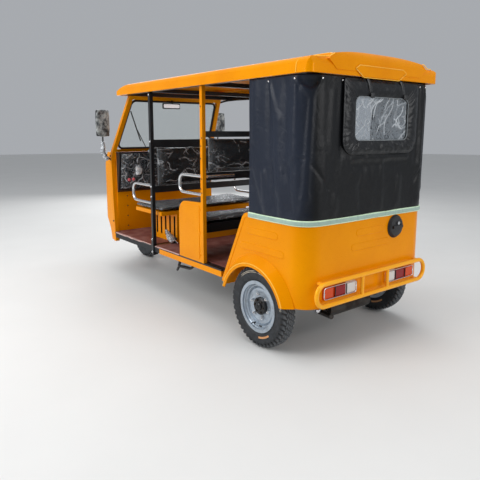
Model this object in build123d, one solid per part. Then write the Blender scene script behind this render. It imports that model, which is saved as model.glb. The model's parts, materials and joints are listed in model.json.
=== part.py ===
"""Passenger motor tricycle: an open three-row body on a ladder frame, one steered wheel in front.

Frame: +X forward, +Y left, +Z up, millimetres. The model is laid out from the rear axle (X = 0, ground Z = 0)
and is moved back by ORIGIN_X when it is written, so that the origin is at the bottom centre of the whole.
"""
from build123d import *
import math
import os

os.makedirs("parts", exist_ok=True)

# Running gear
WHEELBASE = 2650.0
TYRE_R = 271.0
TYRE_W = 108.0
RIM_FLANGE_R = 170.0
RIM_SEAT_R = 153.0
RIM_W = 96.0
RIM_T = 5.0
HUB_R = 57.0
STUB_R = 15.0
BEARING_GAP = 0.1
AXLE_TUBE_R = 30.0
DIFF_R = 85.0

# Gap between two pieces that seat on each other
SEAT = 0.3

# Body widths, each a half width set from the tub's
BODY_HALF = 597.0
SILL_HALF = BODY_HALF - 10
POST_OUT = BODY_HALF - 7
ROOF_HALF = BODY_HALF + 26
PILLAR_OUT = BODY_HALF - 17
WHEEL_Y = BODY_HALF - 20
RAIL_Y = BODY_HALF - 297

# Heights
FLOOR_TOP = 415.0
FLOOR_T = 12.0
FLOOR_LOW = FLOOR_TOP - FLOOR_T
SILL_H = 42.0
TUB_BOTTOM = 335.0
TUB_TOP = 866.0
HEM_BOTTOM = TUB_TOP - 29
HEM_H = 35.0
ROOF_EDGE = 1703.0
ROOF_SIDE_TOP = ROOF_EDGE + 87
ROOF_CROWN = ROOF_EDGE + 147

# Stations along the body; the driver's place is set back from the front panel
PANEL_X = WHEELBASE - 406
PANEL_T = 12.0
FRONT_POST_X = PANEL_X - 805
REAR_POST_X = 673.0
SILL_FRONT = FRONT_POST_X - 109
TUB_REAR = -395.0
TUB_FRONT_LOW = 420.0
TUB_FRONT_HIGH = 140.0
ROOF_REAR = TUB_REAR - 25
ROOF_FRONT = PANEL_X - 184
CURTAIN_FRONT = 112.0

# Sections
POST_W = 30.0
POST_FOOT = FLOOR_LOW - 68
FOOT_T = 6.0
TUB_WALL = 24.0
CORNER_R = 130.0
CURTAIN_T = 10.0
HEM_T = 14.0
ROOF_T = 20.0
ROOF_CORNER_R = 40.0
ROOF_RAIL_W = 28.0
ROOF_RAIL_H = 32.0
COWL_T = 20.0

# Raised middle of the roof: half width at its foot and top, its step, and the pad on its rear face
DECK_HALF_LOW = 470.0
DECK_HALF_TOP = 430.0
DECK_OUT = 4.0
ROOF_PAD = ((-175.0, -9.0), (-250.0, 40.0), (-215.0, 62.0), (215.0, 62.0), (250.0, 40.0), (175.0, -9.0))
ROOF_PAD_LOW = ROOF_EDGE + 3

# Pressed pads on the tub, each by its middle along the wall, middle height and length
PAD_H = 50.0
PAD_OUT = 3.0
SIDE_PADS = ((-13.0, 751.0, 300.0), (-4.0, 644.0, 430.0))
REAR_PADS = ((5.0, 758.0, 295.0), (0.0, 668.0, 392.0))
ROLL_W = 25.0

# Rear wheel arch, a circle in side view
ARCH_X = 35.0
ARCH_Z = 240.0
ARCH_R = 290.0
ARCH_HOLE_R = 336.0
ARCH_LIP_R = 354.0
FLARE_OUT = BODY_HALF + 58
HOUSE_T = 12.0
HOUSE_IN = WHEEL_Y - TYRE_W / 2 - 35

# Steering axis, leaning back from the foot of the fork
STEER_FOOT_X = WHEELBASE - 40
STEER_FOOT_Z = TYRE_R
STEER_RAKE = 27.0
STEM_R = 15.0
HEAD_R = 30.0
HEAD_LOW = 480.0
HEAD_HIGH = 700.0
CLAMP_S = 420.0
LEG_Y = 92.0
LEG_R = 17.0
BAR_S = 1020.0
BAR_HALF = 320.0
BAR_SWEEP = 180.0
BAR_R = 11.0

# Front mudguard
GUARD_R = TYRE_R + 34
GUARD_FOOT = 60.0
GUARD_T = 5.0
GUARD_HALF = 66.0
GUARD_EDGE = 24.0

# Nose
COWL_NOSE = WHEELBASE - 65
COWL_TOP = 1188.0
COWL_BROW = 930.0
COWL_CHIN = 820.0
COWL_BOTTOM = 330.0
COWL_ARCH_R = GUARD_R + 47
LAMP_Y = 200.0
LAMP_Z = 725.0
LAMP_R = 72.0

# Windscreen: the pillars' front edge as (height, ahead of the panel), then the glass
PILLAR_W = 40.0
PILLAR_BEND = 1190.0
PILLAR_LEAN = 70.0
GLASS_LOW = 1216.0
GLASS_HIGH = ROOF_EDGE - 31
GLASS_T = 6.0
GLASS_BACK = 14.0
HEADER_T = 34.0
PILLAR_LINE = (
    (322.0, PANEL_X + 2),
    (720.0, PANEL_X + 26),
    (1098.0, PANEL_X + 38),
    (PILLAR_BEND, PANEL_X + 8),
    (ROOF_EDGE, PANEL_X - 260),
)

# Door mirrors' height on the pillars
MIRROR_FOOT = 1110.0

# Ladder frame
RAIL_W = 50.0
RAIL_REAR = -350.0
RAIL_FRONT = PANEL_X - 19
RAIL_H = 68.0
SILL_W = 40.0
CROSS_W = 40.0
OUTER_RAIL_FRONT = PANEL_X - 40
MID_CROSS_X = (REAR_POST_X + FRONT_POST_X) / 2
FRONT_CROSS_X = PANEL_X - 234
CROSS_STATIONS = (RAIL_REAR + 20, TUB_FRONT_LOW + 20, REAR_POST_X, MID_CROSS_X, FRONT_POST_X, FRONT_CROSS_X)

# Seats: cushion rear x, cushion front x, cushion top z, cushion height, half width
DRIVER_SEAT = (PANEL_X - 872, PANEL_X - 404, 755.0, 50.0, BODY_HALF - 62)
MID_SEAT = (REAR_POST_X + 92, REAR_POST_X + 427, 732.0, 45.0, BODY_HALF - 67)
REAR_SEAT = (TUB_REAR + 95, TUB_REAR + 555, 790.0, 90.0, BODY_HALF - 57)
SEAT_WALL = 16.0

# The slotted box under the driver's bench and the tray on it
BOX_HALF = BODY_HALF - 212
TRAY_H = 32.0
SLOT_COUNT = 6
SLOT_PITCH = 77.0
SLOT_W = 28.0
SLOT_H = 192.0

# Backrests: panel low z, panel high z, half width; bars above and below carry them between the posts
DRIVER_BACK = (927.0, 1255.0, POST_OUT - 75)
MID_BACK = (1088.0, 1344.0, POST_OUT - 70)
REAR_BACK = (800.0, 1145.0, BODY_HALF - CORNER_R - 7)
BACK_T = 60.0
BACK_BAR_LOW_H = 56.0
BACK_BAR_HIGH_H = 42.0
DRIVER_BAR_H = 62.0
BACK_BAR_T = 28.0

# Engine block under the driver's bench: rear x, front x, half width, low z, high z
ENGINE = (PANEL_X - 664, PANEL_X - 430, 190.0, 265.0, 610.0)

# Side guards and grab loops share their reach ahead of the posts
GUARD_REACH = 327.0
LOOP_REACH = 361.0
LOOP_R = 12.0
LOOP_LOW = 780.0
LOOP_HIGH = 930.0
REAR_LOOP_LOW = 925.0
REAR_LOOP_HIGH = 1060.0

# Rear window
WINDOW_Y = -48.0
WINDOW_W = 523.0
WINDOW_LOW = ROOF_EDGE - 373
WINDOW_HIGH = ROOF_EDGE - 113

# Fuel cap
CAP_Y = -245.0
CAP_Z = 757.0

# Tail lamps: middle across, middle height, width, height, depth
TAIL_Y = 305.0
TAIL_Z = 424.0
TAIL_W = 300.0
TAIL_H = 78.0
TAIL_OUT = 20.0
BEZEL_W = 12.0
BEZEL_OUT = 8.0

# Bumper
BUMPER_X = TUB_REAR - 45
BUMPER_HALF = BODY_HALF - 55
BUMPER_LOW = 360.0
BUMPER_HIGH = 497.0
BUMPER_R = 14.0
BUMPER_POST_Y = 128.0

REAR_END = BUMPER_X - BUMPER_R
FRONT_END = WHEELBASE + math.sqrt(GUARD_R ** 2 - GUARD_FOOT ** 2)
ORIGIN_X = (REAR_END + FRONT_END) / 2


def block(x0, x1, y0, y1, z0, z1):
    """A plain block between two corners."""
    return Pos((x0 + x1) / 2, (y0 + y1) / 2, (z0 + z1) / 2) * Box(x1 - x0, y1 - y0, z1 - z0)


def soft_block(x0, x1, y0, y1, z0, z1, radius):
    """A block with every edge rounded."""
    body = block(x0, x1, y0, y1, z0, z1)
    return fillet(body.edges(), radius)


def rod(start, end, radius):
    """A round bar from one point to another."""
    axis = Vector(*end) - Vector(*start)
    plane = Plane(origin=Vector(*start), z_dir=axis.normalized())
    return extrude(plane * Circle(radius), axis.length)


def both_sides(shape):
    """The shape and its mirror image in the plane of symmetry."""
    return Compound([shape, mirror(shape, about=Plane.XZ)])


def side_face(points):
    """A face in the side view from (x, z) points."""
    return make_face(Plane.XZ * Polyline(*points, close=True))


def side_plate(points, y0, y1):
    """A side-view outline given thickness from y0 to y1."""
    return Pos(0, y0, 0) * extrude(side_face(points), y1 - y0, dir=(0, 1, 0))


def plan_prism(sketch, z0, z1):
    """A plan outline given height from z0 to z1."""
    return Pos(0, 0, z0) * extrude(sketch, z1 - z0, dir=(0, 0, 1))


def side_disc(x, z, radius, y0, y1):
    """A disc about a crosswise axis."""
    return Pos(x, (y0 + y1) / 2, z) * Rot(90, 0, 0) * Cylinder(radius, y1 - y0)


def turned(points, x, y, z):
    """A ring turned about the crosswise line through (x, z), from (radius, offset in y) points."""
    face = make_face(Plane.XY * Polyline(*points, close=True))
    return Pos(x, y, z) * revolve(face, Axis.Y)


def steer_point(along, ahead=0.0, side=0.0):
    """A point given by its distance up the steering axis and its distance ahead of it."""
    lean = math.radians(STEER_RAKE)
    x = STEER_FOOT_X - along * math.sin(lean) + ahead * math.cos(lean)
    z = STEER_FOOT_Z + along * math.cos(lean) + ahead * math.sin(lean)
    return (x, side, z)


def tyre(x, y):
    """A cross-ply tyre: bead, sidewall bulge, shoulder and a nearly flat tread."""
    half = TYRE_W / 2
    points = (
        (RIM_SEAT_R + SEAT, -RIM_W / 2 + RIM_T + SEAT),
        (RIM_FLANGE_R + 4, -RIM_W / 2 + RIM_T + SEAT),
        (RIM_FLANGE_R + 8, -half + 4),
        (TYRE_R - 52, -half),
        (TYRE_R - 22, -half + 5),
        (TYRE_R - 5, -half + 14),
        (TYRE_R, 0),
        (TYRE_R - 5, half - 14),
        (TYRE_R - 22, half - 5),
        (TYRE_R - 52, half),
        (RIM_FLANGE_R + 8, half - 4),
        (RIM_FLANGE_R + 4, RIM_W / 2 - RIM_T - SEAT),
        (RIM_SEAT_R + SEAT, RIM_W / 2 - RIM_T - SEAT),
    )
    return turned(points, x, y, TYRE_R)


def disc_wheel(x, y, side):
    """A pressed steel wheel: rim with two flanges, dished disc and a hub bored for its stub."""
    half = RIM_W / 2
    bore = STUB_R + BEARING_GAP
    rim = (
        (RIM_FLANGE_R, -half),
        (RIM_FLANGE_R, -half + RIM_T),
        (RIM_SEAT_R, -half + RIM_T),
        (RIM_SEAT_R, half - RIM_T),
        (RIM_FLANGE_R, half - RIM_T),
        (RIM_FLANGE_R, half),
        (RIM_SEAT_R - RIM_T, half),
        (RIM_SEAT_R - RIM_T, half - 12),
        (RIM_SEAT_R - 10, half - 17),
        (RIM_SEAT_R - 14, half - 26),
        (RIM_SEAT_R - 22, half - 28),
        (RIM_SEAT_R - 27, half - 40),
        (RIM_SEAT_R - 30, half - 38),
        (RIM_SEAT_R - 37, half - 31),
        (RIM_SEAT_R - 51, half - 30),
        (RIM_SEAT_R - 68, half - 36),
        (RIM_SEAT_R - 86, half - 40),
        (HUB_R, half - 40),
        (HUB_R, half - 22),
        (HUB_R - 5, half - 18),
        (bore, half - 18),
        (bore, half - 70),
        (HUB_R, half - 70),
        (HUB_R, half - 48),
        (RIM_SEAT_R - 84, half - 48),
        (RIM_SEAT_R - 68, half - 44),
        (RIM_SEAT_R - 51, half - 39),
        (RIM_SEAT_R - 37, half - 40),
        (RIM_SEAT_R - 30, half - 48),
        (RIM_SEAT_R - RIM_T, half - 50),
        (RIM_SEAT_R - RIM_T, -half),
    )
    points = tuple((radius, side * offset) for radius, offset in rim)
    return turned(points, x, y, TYRE_R)


def leaf_springs():
    """Two packs of three leaves under the axle, with eyes hung from the rails."""
    half_span = 360.0
    low_z = TYRE_R - AXLE_TUBE_R - SEAT
    eye_z = FLOOR_LOW - RAIL_H - 14
    sag = eye_z - low_z
    bend = (half_span ** 2 + sag ** 2) / (2 * sag)
    leaf_t = 8.0
    parts = []
    for number in range(3):
        inner = bend + number * leaf_t
        ring = Circle(inner + leaf_t) - Circle(inner)
        band = Pos(0, 0, low_z + bend) * Rot(90, 0, 0) * extrude(ring, 25, both=True)
        reach = half_span - number * 90
        parts.append(band & block(-reach, reach, -30, 30, 0, eye_z + 40))
    for end in (-1, 1):
        parts.append(block(end * half_span - 12, end * half_span + 12, -25, 25, eye_z - 12, FLOOR_LOW - RAIL_H))
    pack = Part() + parts
    return both_sides(Pos(0, RAIL_Y, 0) * pack)


def rear_axle():
    """Axle tube with the differential housing, brake drums' backing plates and the wheel stubs."""
    inner_face = WHEEL_Y + RIM_W / 2 - 70
    tube = side_disc(0, TYRE_R, AXLE_TUBE_R, -(inner_face - 16), inner_face - 16)
    diff = side_disc(0, TYRE_R, DIFF_R, -70, 70)
    nose = rod((0, 0, TYRE_R), (DIFF_R + 30, 0, TYRE_R), 42)
    stub_end = WHEEL_Y + RIM_W / 2 - 22
    stub = side_disc(0, TYRE_R, STUB_R, -stub_end, stub_end)
    axle = tube + diff + nose + stub
    for side in (-1, 1):
        edge = side * (inner_face - 26)
        axle += side_disc(0, TYRE_R, 105, min(edge, edge - side * 12), max(edge, edge - side * 12))
    return axle


def frame_rails():
    """The two main rails and the shorter black rails outside them by the footwell."""
    rail = block(RAIL_REAR, RAIL_FRONT, RAIL_Y - RAIL_W / 2, RAIL_Y + RAIL_W / 2, FLOOR_LOW - RAIL_H, FLOOR_LOW)
    outer = block(
        SILL_FRONT + SEAT, OUTER_RAIL_FRONT, SILL_HALF - SILL_W, SILL_HALF - 7, FLOOR_LOW - SILL_H, FLOOR_LOW
    )
    return both_sides(Compound([rail, outer]))


def cross_members():
    """Cross members between the rails, and outriggers from the rails to the sills."""
    low = FLOOR_LOW - SILL_H
    bars = []
    for station in CROSS_STATIONS:
        x0 = station - CROSS_W / 2
        x1 = station + CROSS_W / 2
        bars.append(block(x0, x1, -(RAIL_Y - RAIL_W / 2), RAIL_Y - RAIL_W / 2, low, FLOOR_LOW))
        if station > TUB_FRONT_LOW:
            outrigger = block(x0, x1, RAIL_Y + RAIL_W / 2, SILL_HALF - SILL_W, low, FLOOR_LOW)
            bars.append(outrigger)
            bars.append(mirror(outrigger, about=Plane.XZ))
    return Compound(bars)


def head_frame():
    """Neck tubes rising from the rails' front ends to the head tube."""
    height = FLOOR_LOW - RAIL_H / 2
    frame = rod(steer_point(HEAD_LOW), steer_point(HEAD_HIGH), HEAD_R)
    for side in (-1, 1):
        start = (RAIL_FRONT, side * RAIL_Y, height)
        foot = (PANEL_X + 50, side * (RAIL_Y - 40), height)
        neck = steer_point(HEAD_LOW + 60, 0, side * 8)
        frame += block(
            RAIL_FRONT, RAIL_FRONT + 12, start[1] - RAIL_W / 2, start[1] + RAIL_W / 2, height - 30, height + 30
        )
        frame += rod((start[0] + 12, start[1], start[2]), foot, 18)
        frame += Pos(*foot) * Sphere(18)
        frame += rod(foot, neck, 16)
    return frame - rod(steer_point(HEAD_LOW - 5), steer_point(HEAD_HIGH + 5), STEM_R + BEARING_GAP)


def front_fork():
    """Stem through the head tube, lower clamp, two legs and the wheel spindle."""
    fork = rod(steer_point(CLAMP_S), steer_point(BAR_S), STEM_R)
    offset = (WHEELBASE - STEER_FOOT_X) * math.cos(math.radians(STEER_RAKE))
    drop = (WHEELBASE - STEER_FOOT_X) * math.sin(math.radians(STEER_RAKE))
    low = -drop
    fork += rod(steer_point(CLAMP_S, offset, -LEG_Y), steer_point(CLAMP_S, offset, LEG_Y), 20)
    fork += rod(steer_point(CLAMP_S, 0), steer_point(CLAMP_S, offset), 18)
    for side in (-1, 1):
        fork += rod(steer_point(low, offset, side * LEG_Y), steer_point(CLAMP_S + 20, offset, side * LEG_Y), LEG_R)
    fork += side_disc(WHEELBASE, TYRE_R, STUB_R, -LEG_Y, LEG_Y)
    return fork


def handlebar():
    """Clamp on the stem, cross bar and two grips swept back."""
    centre = steer_point(BAR_S)
    bars = Pos(centre[0], 0, centre[2] + 18) * Box(50, 60, 36)
    height = centre[2] + 30
    for side in (-1, 1):
        bend = (centre[0] - BAR_SWEEP / 2, side * BAR_HALF * 0.55, height)
        grip = (centre[0] - BAR_SWEEP, side * BAR_HALF, height - 10)
        bars += rod((centre[0], 0, height), bend, BAR_R)
        bars += Pos(*bend) * Sphere(BAR_R)
        bars += rod(bend, grip, BAR_R)
    bars -= rod(steer_point(CLAMP_S), steer_point(BAR_S), STEM_R + SEAT)
    return bars


def front_mudguard():
    """A hoop over the front wheel with turned-down edges, held by a boss on each fork leg."""
    inner = GUARD_R - GUARD_EDGE
    points = (
        (GUARD_R - GUARD_T, -GUARD_HALF + GUARD_T),
        (GUARD_R - GUARD_T, GUARD_HALF - GUARD_T),
        (inner, GUARD_HALF - GUARD_T),
        (inner, GUARD_HALF),
        (GUARD_R, GUARD_HALF),
        (GUARD_R, -GUARD_HALF),
        (inner, -GUARD_HALF),
        (inner, -GUARD_HALF + GUARD_T),
    )
    hoop = turned(points, WHEELBASE, 0, TYRE_R)
    hoop &= block(WHEELBASE - 400, WHEELBASE + 400, -200, 200, TYRE_R + GUARD_FOOT, TYRE_R + 400)
    middle = GUARD_R - GUARD_EDGE / 2
    lean = math.radians(STEER_RAKE)
    x = WHEELBASE - middle * math.sin(lean)
    z = TYRE_R + middle * math.cos(lean)
    for side in (-1, 1):
        low, high = sorted((side * (GUARD_HALF - 1), side * (LEG_Y - LEG_R - SEAT)))
        hoop += side_disc(x, z, 10, low, high)
    return hoop


def front_wheel():
    """The front wheel has the same disc with its hub bored right through."""
    wheel = disc_wheel(WHEELBASE, 0, 1)
    return wheel


def tub_outline(inset):
    """Plan outline of the tub, rounded at its rear corners."""
    rear = TUB_REAR + inset
    half = BODY_HALF - inset
    front = TUB_FRONT_LOW + 20
    outline = Polyline((front, -half), (rear, -half), (rear, half), (front, half), close=True)
    face = make_face(outline)
    corners = face.vertices().filter_by(lambda v: v.X < 0)
    return fillet(corners, CORNER_R - inset)


def tub_side_face():
    """Side view of the tub: level hem line, front edge sloping back as it rises."""
    shape = side_face(
        (
            (TUB_REAR - 10, TUB_BOTTOM),
            (TUB_FRONT_LOW, TUB_BOTTOM + 8),
            (TUB_FRONT_LOW - 25, TUB_BOTTOM + 60),
            (TUB_FRONT_HIGH + 30, TUB_TOP),
            (TUB_REAR - 10, TUB_TOP),
        )
    )
    top = shape.vertices().filter_by(lambda v: v.X > 0 and v.Z > TUB_TOP - 1)
    return fillet(top, 70)


def tub_roll():
    """The rolled edge that follows the tub's front, raised from its side."""
    face = tub_side_face()
    band = extrude(face, BODY_HALF + PAD_OUT, dir=(0, 1, 0)) - extrude(offset(face, -ROLL_W), 800, dir=(0, 1, 0))
    return band & block(CURTAIN_FRONT + 4, 700, BODY_HALF - 2, BODY_HALF + PAD_OUT, TUB_BOTTOM + 20, TUB_TOP)


def pressed_pads():
    """The long round-ended pads pressed out of the tub's side and rear."""
    pads = []
    for x, z, length in SIDE_PADS:
        side = Plane(origin=(x, BODY_HALF - 1, z), x_dir=(1, 0, 0), z_dir=(0, 1, 0))
        pad = extrude(side * SlotOverall(length, PAD_H), PAD_OUT + 1, taper=50)
        pads += [pad, mirror(pad, about=Plane.XZ)]
    for y, z, length in REAR_PADS:
        rear = Plane(origin=(TUB_REAR + 1, y, z), x_dir=(0, 1, 0), z_dir=(-1, 0, 0))
        pads.append(extrude(rear * SlotOverall(length, PAD_H), PAD_OUT + 1, taper=50))
    return pads


def lamp_bezel(side):
    """The rounded frame that the tub has round a tail lamp."""
    rear = Plane(origin=(TUB_REAR + 2, side * TAIL_Y, TAIL_Z), x_dir=(0, 1, 0), z_dir=(-1, 0, 0))
    outer = RectangleRounded(TAIL_W + 2 * BEZEL_W, TAIL_H + 2 * BEZEL_W, 28)
    inner = RectangleRounded(TAIL_W + 2 * SEAT, TAIL_H + 2 * SEAT, 16 + SEAT)
    frame = extrude(rear * outer, BEZEL_OUT + 2, taper=15)
    return frame - Pos(-2, 0, 0) * extrude(rear * inner, BEZEL_OUT + 4)


def wheel_arch(side):
    """The flared lip outside and the wheel house inside."""
    profile = (
        (ARCH_R, side * (FLARE_OUT - 8)),
        (ARCH_R, side * FLARE_OUT),
        (ARCH_R + 22, side * FLARE_OUT),
        (ARCH_LIP_R + 6, side * (BODY_HALF + 2)),
        (ARCH_LIP_R + 6, side * (BODY_HALF - 2)),
        (ARCH_LIP_R, side * (BODY_HALF - TUB_WALL)),
        (ARCH_HOLE_R - 2, side * (BODY_HALF - TUB_WALL)),
        (ARCH_HOLE_R - 2, side * (BODY_HALF + 6)),
        (ARCH_R + 16, side * (FLARE_OUT - 8)),
    )
    flare = turned(profile, ARCH_X, 0, ARCH_Z)
    low, high = sorted((side * HOUSE_IN, side * (BODY_HALF - 10)))
    outer = side_disc(ARCH_X, ARCH_Z, ARCH_HOLE_R + HOUSE_T, low, high)
    low, high = sorted((side * (HOUSE_IN + HOUSE_T), side * (FLARE_OUT + 50)))
    house = outer - side_disc(ARCH_X, ARCH_Z, ARCH_HOLE_R, low, high)
    above = block(-700, 700, -900, 900, TUB_BOTTOM, TUB_TOP)
    return (flare & above) + (house & above)


def rear_tub():
    """The rear body tub: U-shaped walls, rolled front edge, pressed pads, flared arches and inner wheel houses."""
    shell = plan_prism(tub_outline(0), TUB_BOTTOM, TUB_TOP)
    shell -= plan_prism(tub_outline(TUB_WALL), TUB_BOTTOM - 10, TUB_TOP + 10)
    shell &= extrude(tub_side_face(), BODY_HALF + 200, both=True)
    roll = tub_roll()
    shell += [roll, mirror(roll, about=Plane.XZ)]
    shell += pressed_pads()
    for side in (-1, 1):
        low, high = sorted((side * (HOUSE_IN - 8), side * (FLARE_OUT + 50)))
        shell -= side_disc(ARCH_X, ARCH_Z, ARCH_HOLE_R, low, high)
        shell += wheel_arch(side)
        shell += lamp_bezel(side)
    return shell


def floor_pan():
    """Flat steel floor from the front panel back into the tub, notched for the wheel houses and the engine."""
    front = block(TUB_FRONT_LOW + 20, PANEL_X, -SILL_HALF, SILL_HALF, FLOOR_LOW, FLOOR_TOP)
    half = BODY_HALF - TUB_WALL - SEAT
    rear = block(TUB_REAR + TUB_WALL + SEAT + 20, TUB_FRONT_LOW + 20, -half, half, FLOOR_LOW, FLOOR_TOP)
    rear &= plan_prism(tub_outline(TUB_WALL + SEAT), FLOOR_LOW, FLOOR_TOP)
    for side in (-1, 1):
        edge = side * (HOUSE_IN - SEAT)
        rear -= side_disc(ARCH_X, ARCH_Z, ARCH_HOLE_R + HOUSE_T + SEAT, min(edge, side * 700), max(edge, side * 700))
    pan = front + rear
    for side in (-1, 1):
        edge = side * (PILLAR_OUT - PILLAR_W - SEAT)
        pan -= block(OUTER_RAIL_FRONT, PANEL_X + 10, min(edge, side * 700), max(edge, side * 700), 400, 420)
    return pan - block(ENGINE[0] - 12, ENGINE[1] + 12, -ENGINE[2] - 12, ENGINE[2] + 12, FLOOR_LOW - 5, FLOOR_TOP + 5)


def seat_cushion(seat, radius=22.0):
    """A bench cushion."""
    rear, front, top, height, half = seat
    return soft_block(rear, front, -half, half, top - height + SEAT, top, radius)


def backrest(x, back):
    """A padded back panel across the body, its rear face at x."""
    low, high, half = back
    return soft_block(x, x + BACK_T, -half, half, low + SEAT, high - SEAT, 20)


def backrest_bars():
    """A bar above and a bar below each front and middle backrest, from post to post."""
    bars = []
    half = POST_OUT - POST_W
    stations = ((FRONT_POST_X, DRIVER_BACK, DRIVER_BAR_H), (REAR_POST_X, MID_BACK, BACK_BAR_HIGH_H))
    for x, back, bar_h in stations:
        low, high, width = back
        x0 = x - BACK_BAR_T / 2
        x1 = x + BACK_BAR_T / 2
        bars.append(block(x0, x1, -half, half, low - BACK_BAR_LOW_H, low))
        bars.append(block(x0, x1, -half, half, high, high + bar_h))
    return Compound(bars)


def driver_seat_base():
    """A yellow tray on a narrower box with upright slots along both sides, open below for the engine."""
    rear, front, top, height, half = DRIVER_SEAT
    wall = SEAT_WALL
    low = top - height
    shelf = low - TRAY_H
    base = block(rear, front, -half, half, shelf, low)
    base += block(rear, front, -BOX_HALF, BOX_HALF, FLOOR_TOP, shelf)
    base -= block(rear + wall, front - wall, -BOX_HALF + wall, BOX_HALF - wall, FLOOR_TOP - 1, low - wall)
    slot = extrude(Plane.XZ * SlotOverall(SLOT_H, SLOT_W, rotation=90), BOX_HALF + 10, both=True)
    first = (rear + front - (SLOT_COUNT - 1) * SLOT_PITCH) / 2
    for number in range(SLOT_COUNT):
        base -= Pos(first + number * SLOT_PITCH, 0, shelf - 115) * slot
    return base


def mid_seat_base():
    """A black tray on a yellow bar frame with four legs."""
    rear, front, top, height, half = MID_SEAT
    tray_top = top - height
    tray = block(rear + 5, front - 10, -half + 10, half - 10, tray_top - 70, tray_top)
    bar_low = tray_top - 110
    tray += block(rear, rear + 30, -half, half, bar_low, tray_top - 70)
    tray += block(front - 40, front - 10, -half, half, bar_low, tray_top - 70)
    for x in (rear, front - 40):
        for y in (-half, half - 30):
            tray += block(x, x + 30, y, y + 30, FLOOR_TOP, bar_low)
    return tray


def rear_seat_base():
    """A plain box between the wheel houses under the rear bench."""
    rear, front, top, height, half = REAR_SEAT
    half = HOUSE_IN - 20
    wall = SEAT_WALL
    low = top - height
    box = block(rear, front, -half, half, FLOOR_TOP, low)
    return box - block(rear + wall, front - wall, -half + wall, half - wall, FLOOR_TOP - 1, low - wall)


def pillar_x(z):
    """Front edge of the pillars at a height."""
    for (z0, x0), (z1, x1) in zip(PILLAR_LINE, PILLAR_LINE[1:]):
        if z <= z1:
            return x0 + (x1 - x0) * (z - z0) / (z1 - z0)
    return PILLAR_LINE[-1][1]


def front_pillars():
    """Bent pillars from the floor to the roof, leaning in beside the windscreen."""
    front = [(x, z) for z, x in PILLAR_LINE[:-1]]
    back = [(x - PILLAR_W, z) for x, z in reversed(front)]
    pillar = side_plate(front + back, PILLAR_OUT - PILLAR_W, PILLAR_OUT)
    bend_x = pillar_x(PILLAR_BEND)
    foot = Plane(origin=(bend_x - PILLAR_W / 2, PILLAR_OUT - PILLAR_W / 2, PILLAR_BEND))
    rise = Vector(pillar_x(ROOF_EDGE) - bend_x, -PILLAR_LEAN, ROOF_EDGE - PILLAR_BEND)
    pillar += extrude(foot * Rectangle(PILLAR_W, PILLAR_W), rise.length, dir=rise.normalized())
    return both_sides(pillar)


def between_pillars(gap):
    """The space between the leaning pillars, a gap in from each."""
    half = PILLAR_OUT - PILLAR_W - gap
    low = PILLAR_BEND
    outline = Polyline(
        (-half, low), (half, low), (half - PILLAR_LEAN, ROOF_EDGE), (-half + PILLAR_LEAN, ROOF_EDGE), close=True
    )
    return extrude(make_face(Plane.YZ * outline), 2 * WHEELBASE, both=True)


def windscreen_rails():
    """A rail above and a rail below the glass."""
    rails = []
    half = PILLAR_OUT - PILLAR_W
    for low, high in ((PILLAR_BEND, GLASS_LOW), (GLASS_HIGH, ROOF_EDGE)):
        rail = (
            (pillar_x(low), low),
            (pillar_x(high), high),
            (pillar_x(high) - HEADER_T, high),
            (pillar_x(low) - HEADER_T, low),
        )
        rails.append(side_plate(rail, -half, half) & between_pillars(0))
    return Compound(rails)


def windscreen_glass():
    """Flat glass between the pillars."""
    half = PILLAR_OUT - PILLAR_W - SEAT
    low = GLASS_LOW + SEAT
    high = GLASS_HIGH - SEAT
    pane = (
        (pillar_x(low) - GLASS_BACK, low),
        (pillar_x(high) - GLASS_BACK, high),
        (pillar_x(high) - GLASS_BACK - GLASS_T, high),
        (pillar_x(low) - GLASS_BACK - GLASS_T, low),
    )
    return side_plate(pane, -half, half) & between_pillars(SEAT)


def cowl_solid(inset):
    """The nose as a plan outline cut by its side view."""
    nose = COWL_NOSE - inset
    half = PILLAR_OUT - inset
    shoulder = COWL_NOSE - 120 - inset
    plan = make_face(
        Polyline(
            (PANEL_X - 44, -half),
            (shoulder, -half + 18),
            (nose, -310 + inset),
            (nose, 310 - inset),
            (shoulder, half - 18),
            (PANEL_X - 44, half),
            close=True,
        )
    )
    bends = plan.vertices().filter_by(lambda v: v.X > PANEL_X + 50)
    body = plan_prism(fillet(bends, 120 - inset), COWL_BOTTOM - 130, COWL_TOP + 110)
    rear = [(x + SEAT, z) for z, x in PILLAR_LINE if z < COWL_TOP - 30]
    view = rear + [
        (pillar_x(COWL_TOP) + SEAT, COWL_TOP - inset),
        (COWL_NOSE - 245 - inset, COWL_TOP - inset),
        (COWL_NOSE - 75 - inset, COWL_BROW - inset / 2),
        (nose, COWL_CHIN - inset / 2),
        (nose, COWL_BOTTOM - 8),
    ]
    if inset:
        view = [(x - 60, z) for x, z in rear] + view[len(rear):]
    return body & extrude(side_face(view), 800, both=True)


def front_cowl():
    """The nose shell, open behind and over the front wheel, with two lamp holes."""
    shell = cowl_solid(0) - cowl_solid(COWL_T)
    shell -= side_disc(WHEELBASE, TYRE_R, COWL_ARCH_R, -800, 800)
    shell -= block(PANEL_X + 96, WHEELBASE + 50, -800, 800, 0, COWL_BOTTOM + 90)
    shell &= block(PANEL_X - 4, WHEELBASE + 50, -800, 800, COWL_BOTTOM, COWL_TOP)
    for side in (-1, 1):
        shell -= Pos(COWL_NOSE - 20, side * LAMP_Y, LAMP_Z) * Rot(0, 90, 0) * Cylinder(LAMP_R + SEAT, 120)
    return shell


def headlamps():
    """Two round lamps let into the nose."""
    lamp = Pos(COWL_NOSE - 19, LAMP_Y, LAMP_Z) * Rot(0, 90, 0) * Cylinder(LAMP_R, 50)
    return both_sides(lamp)


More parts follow.
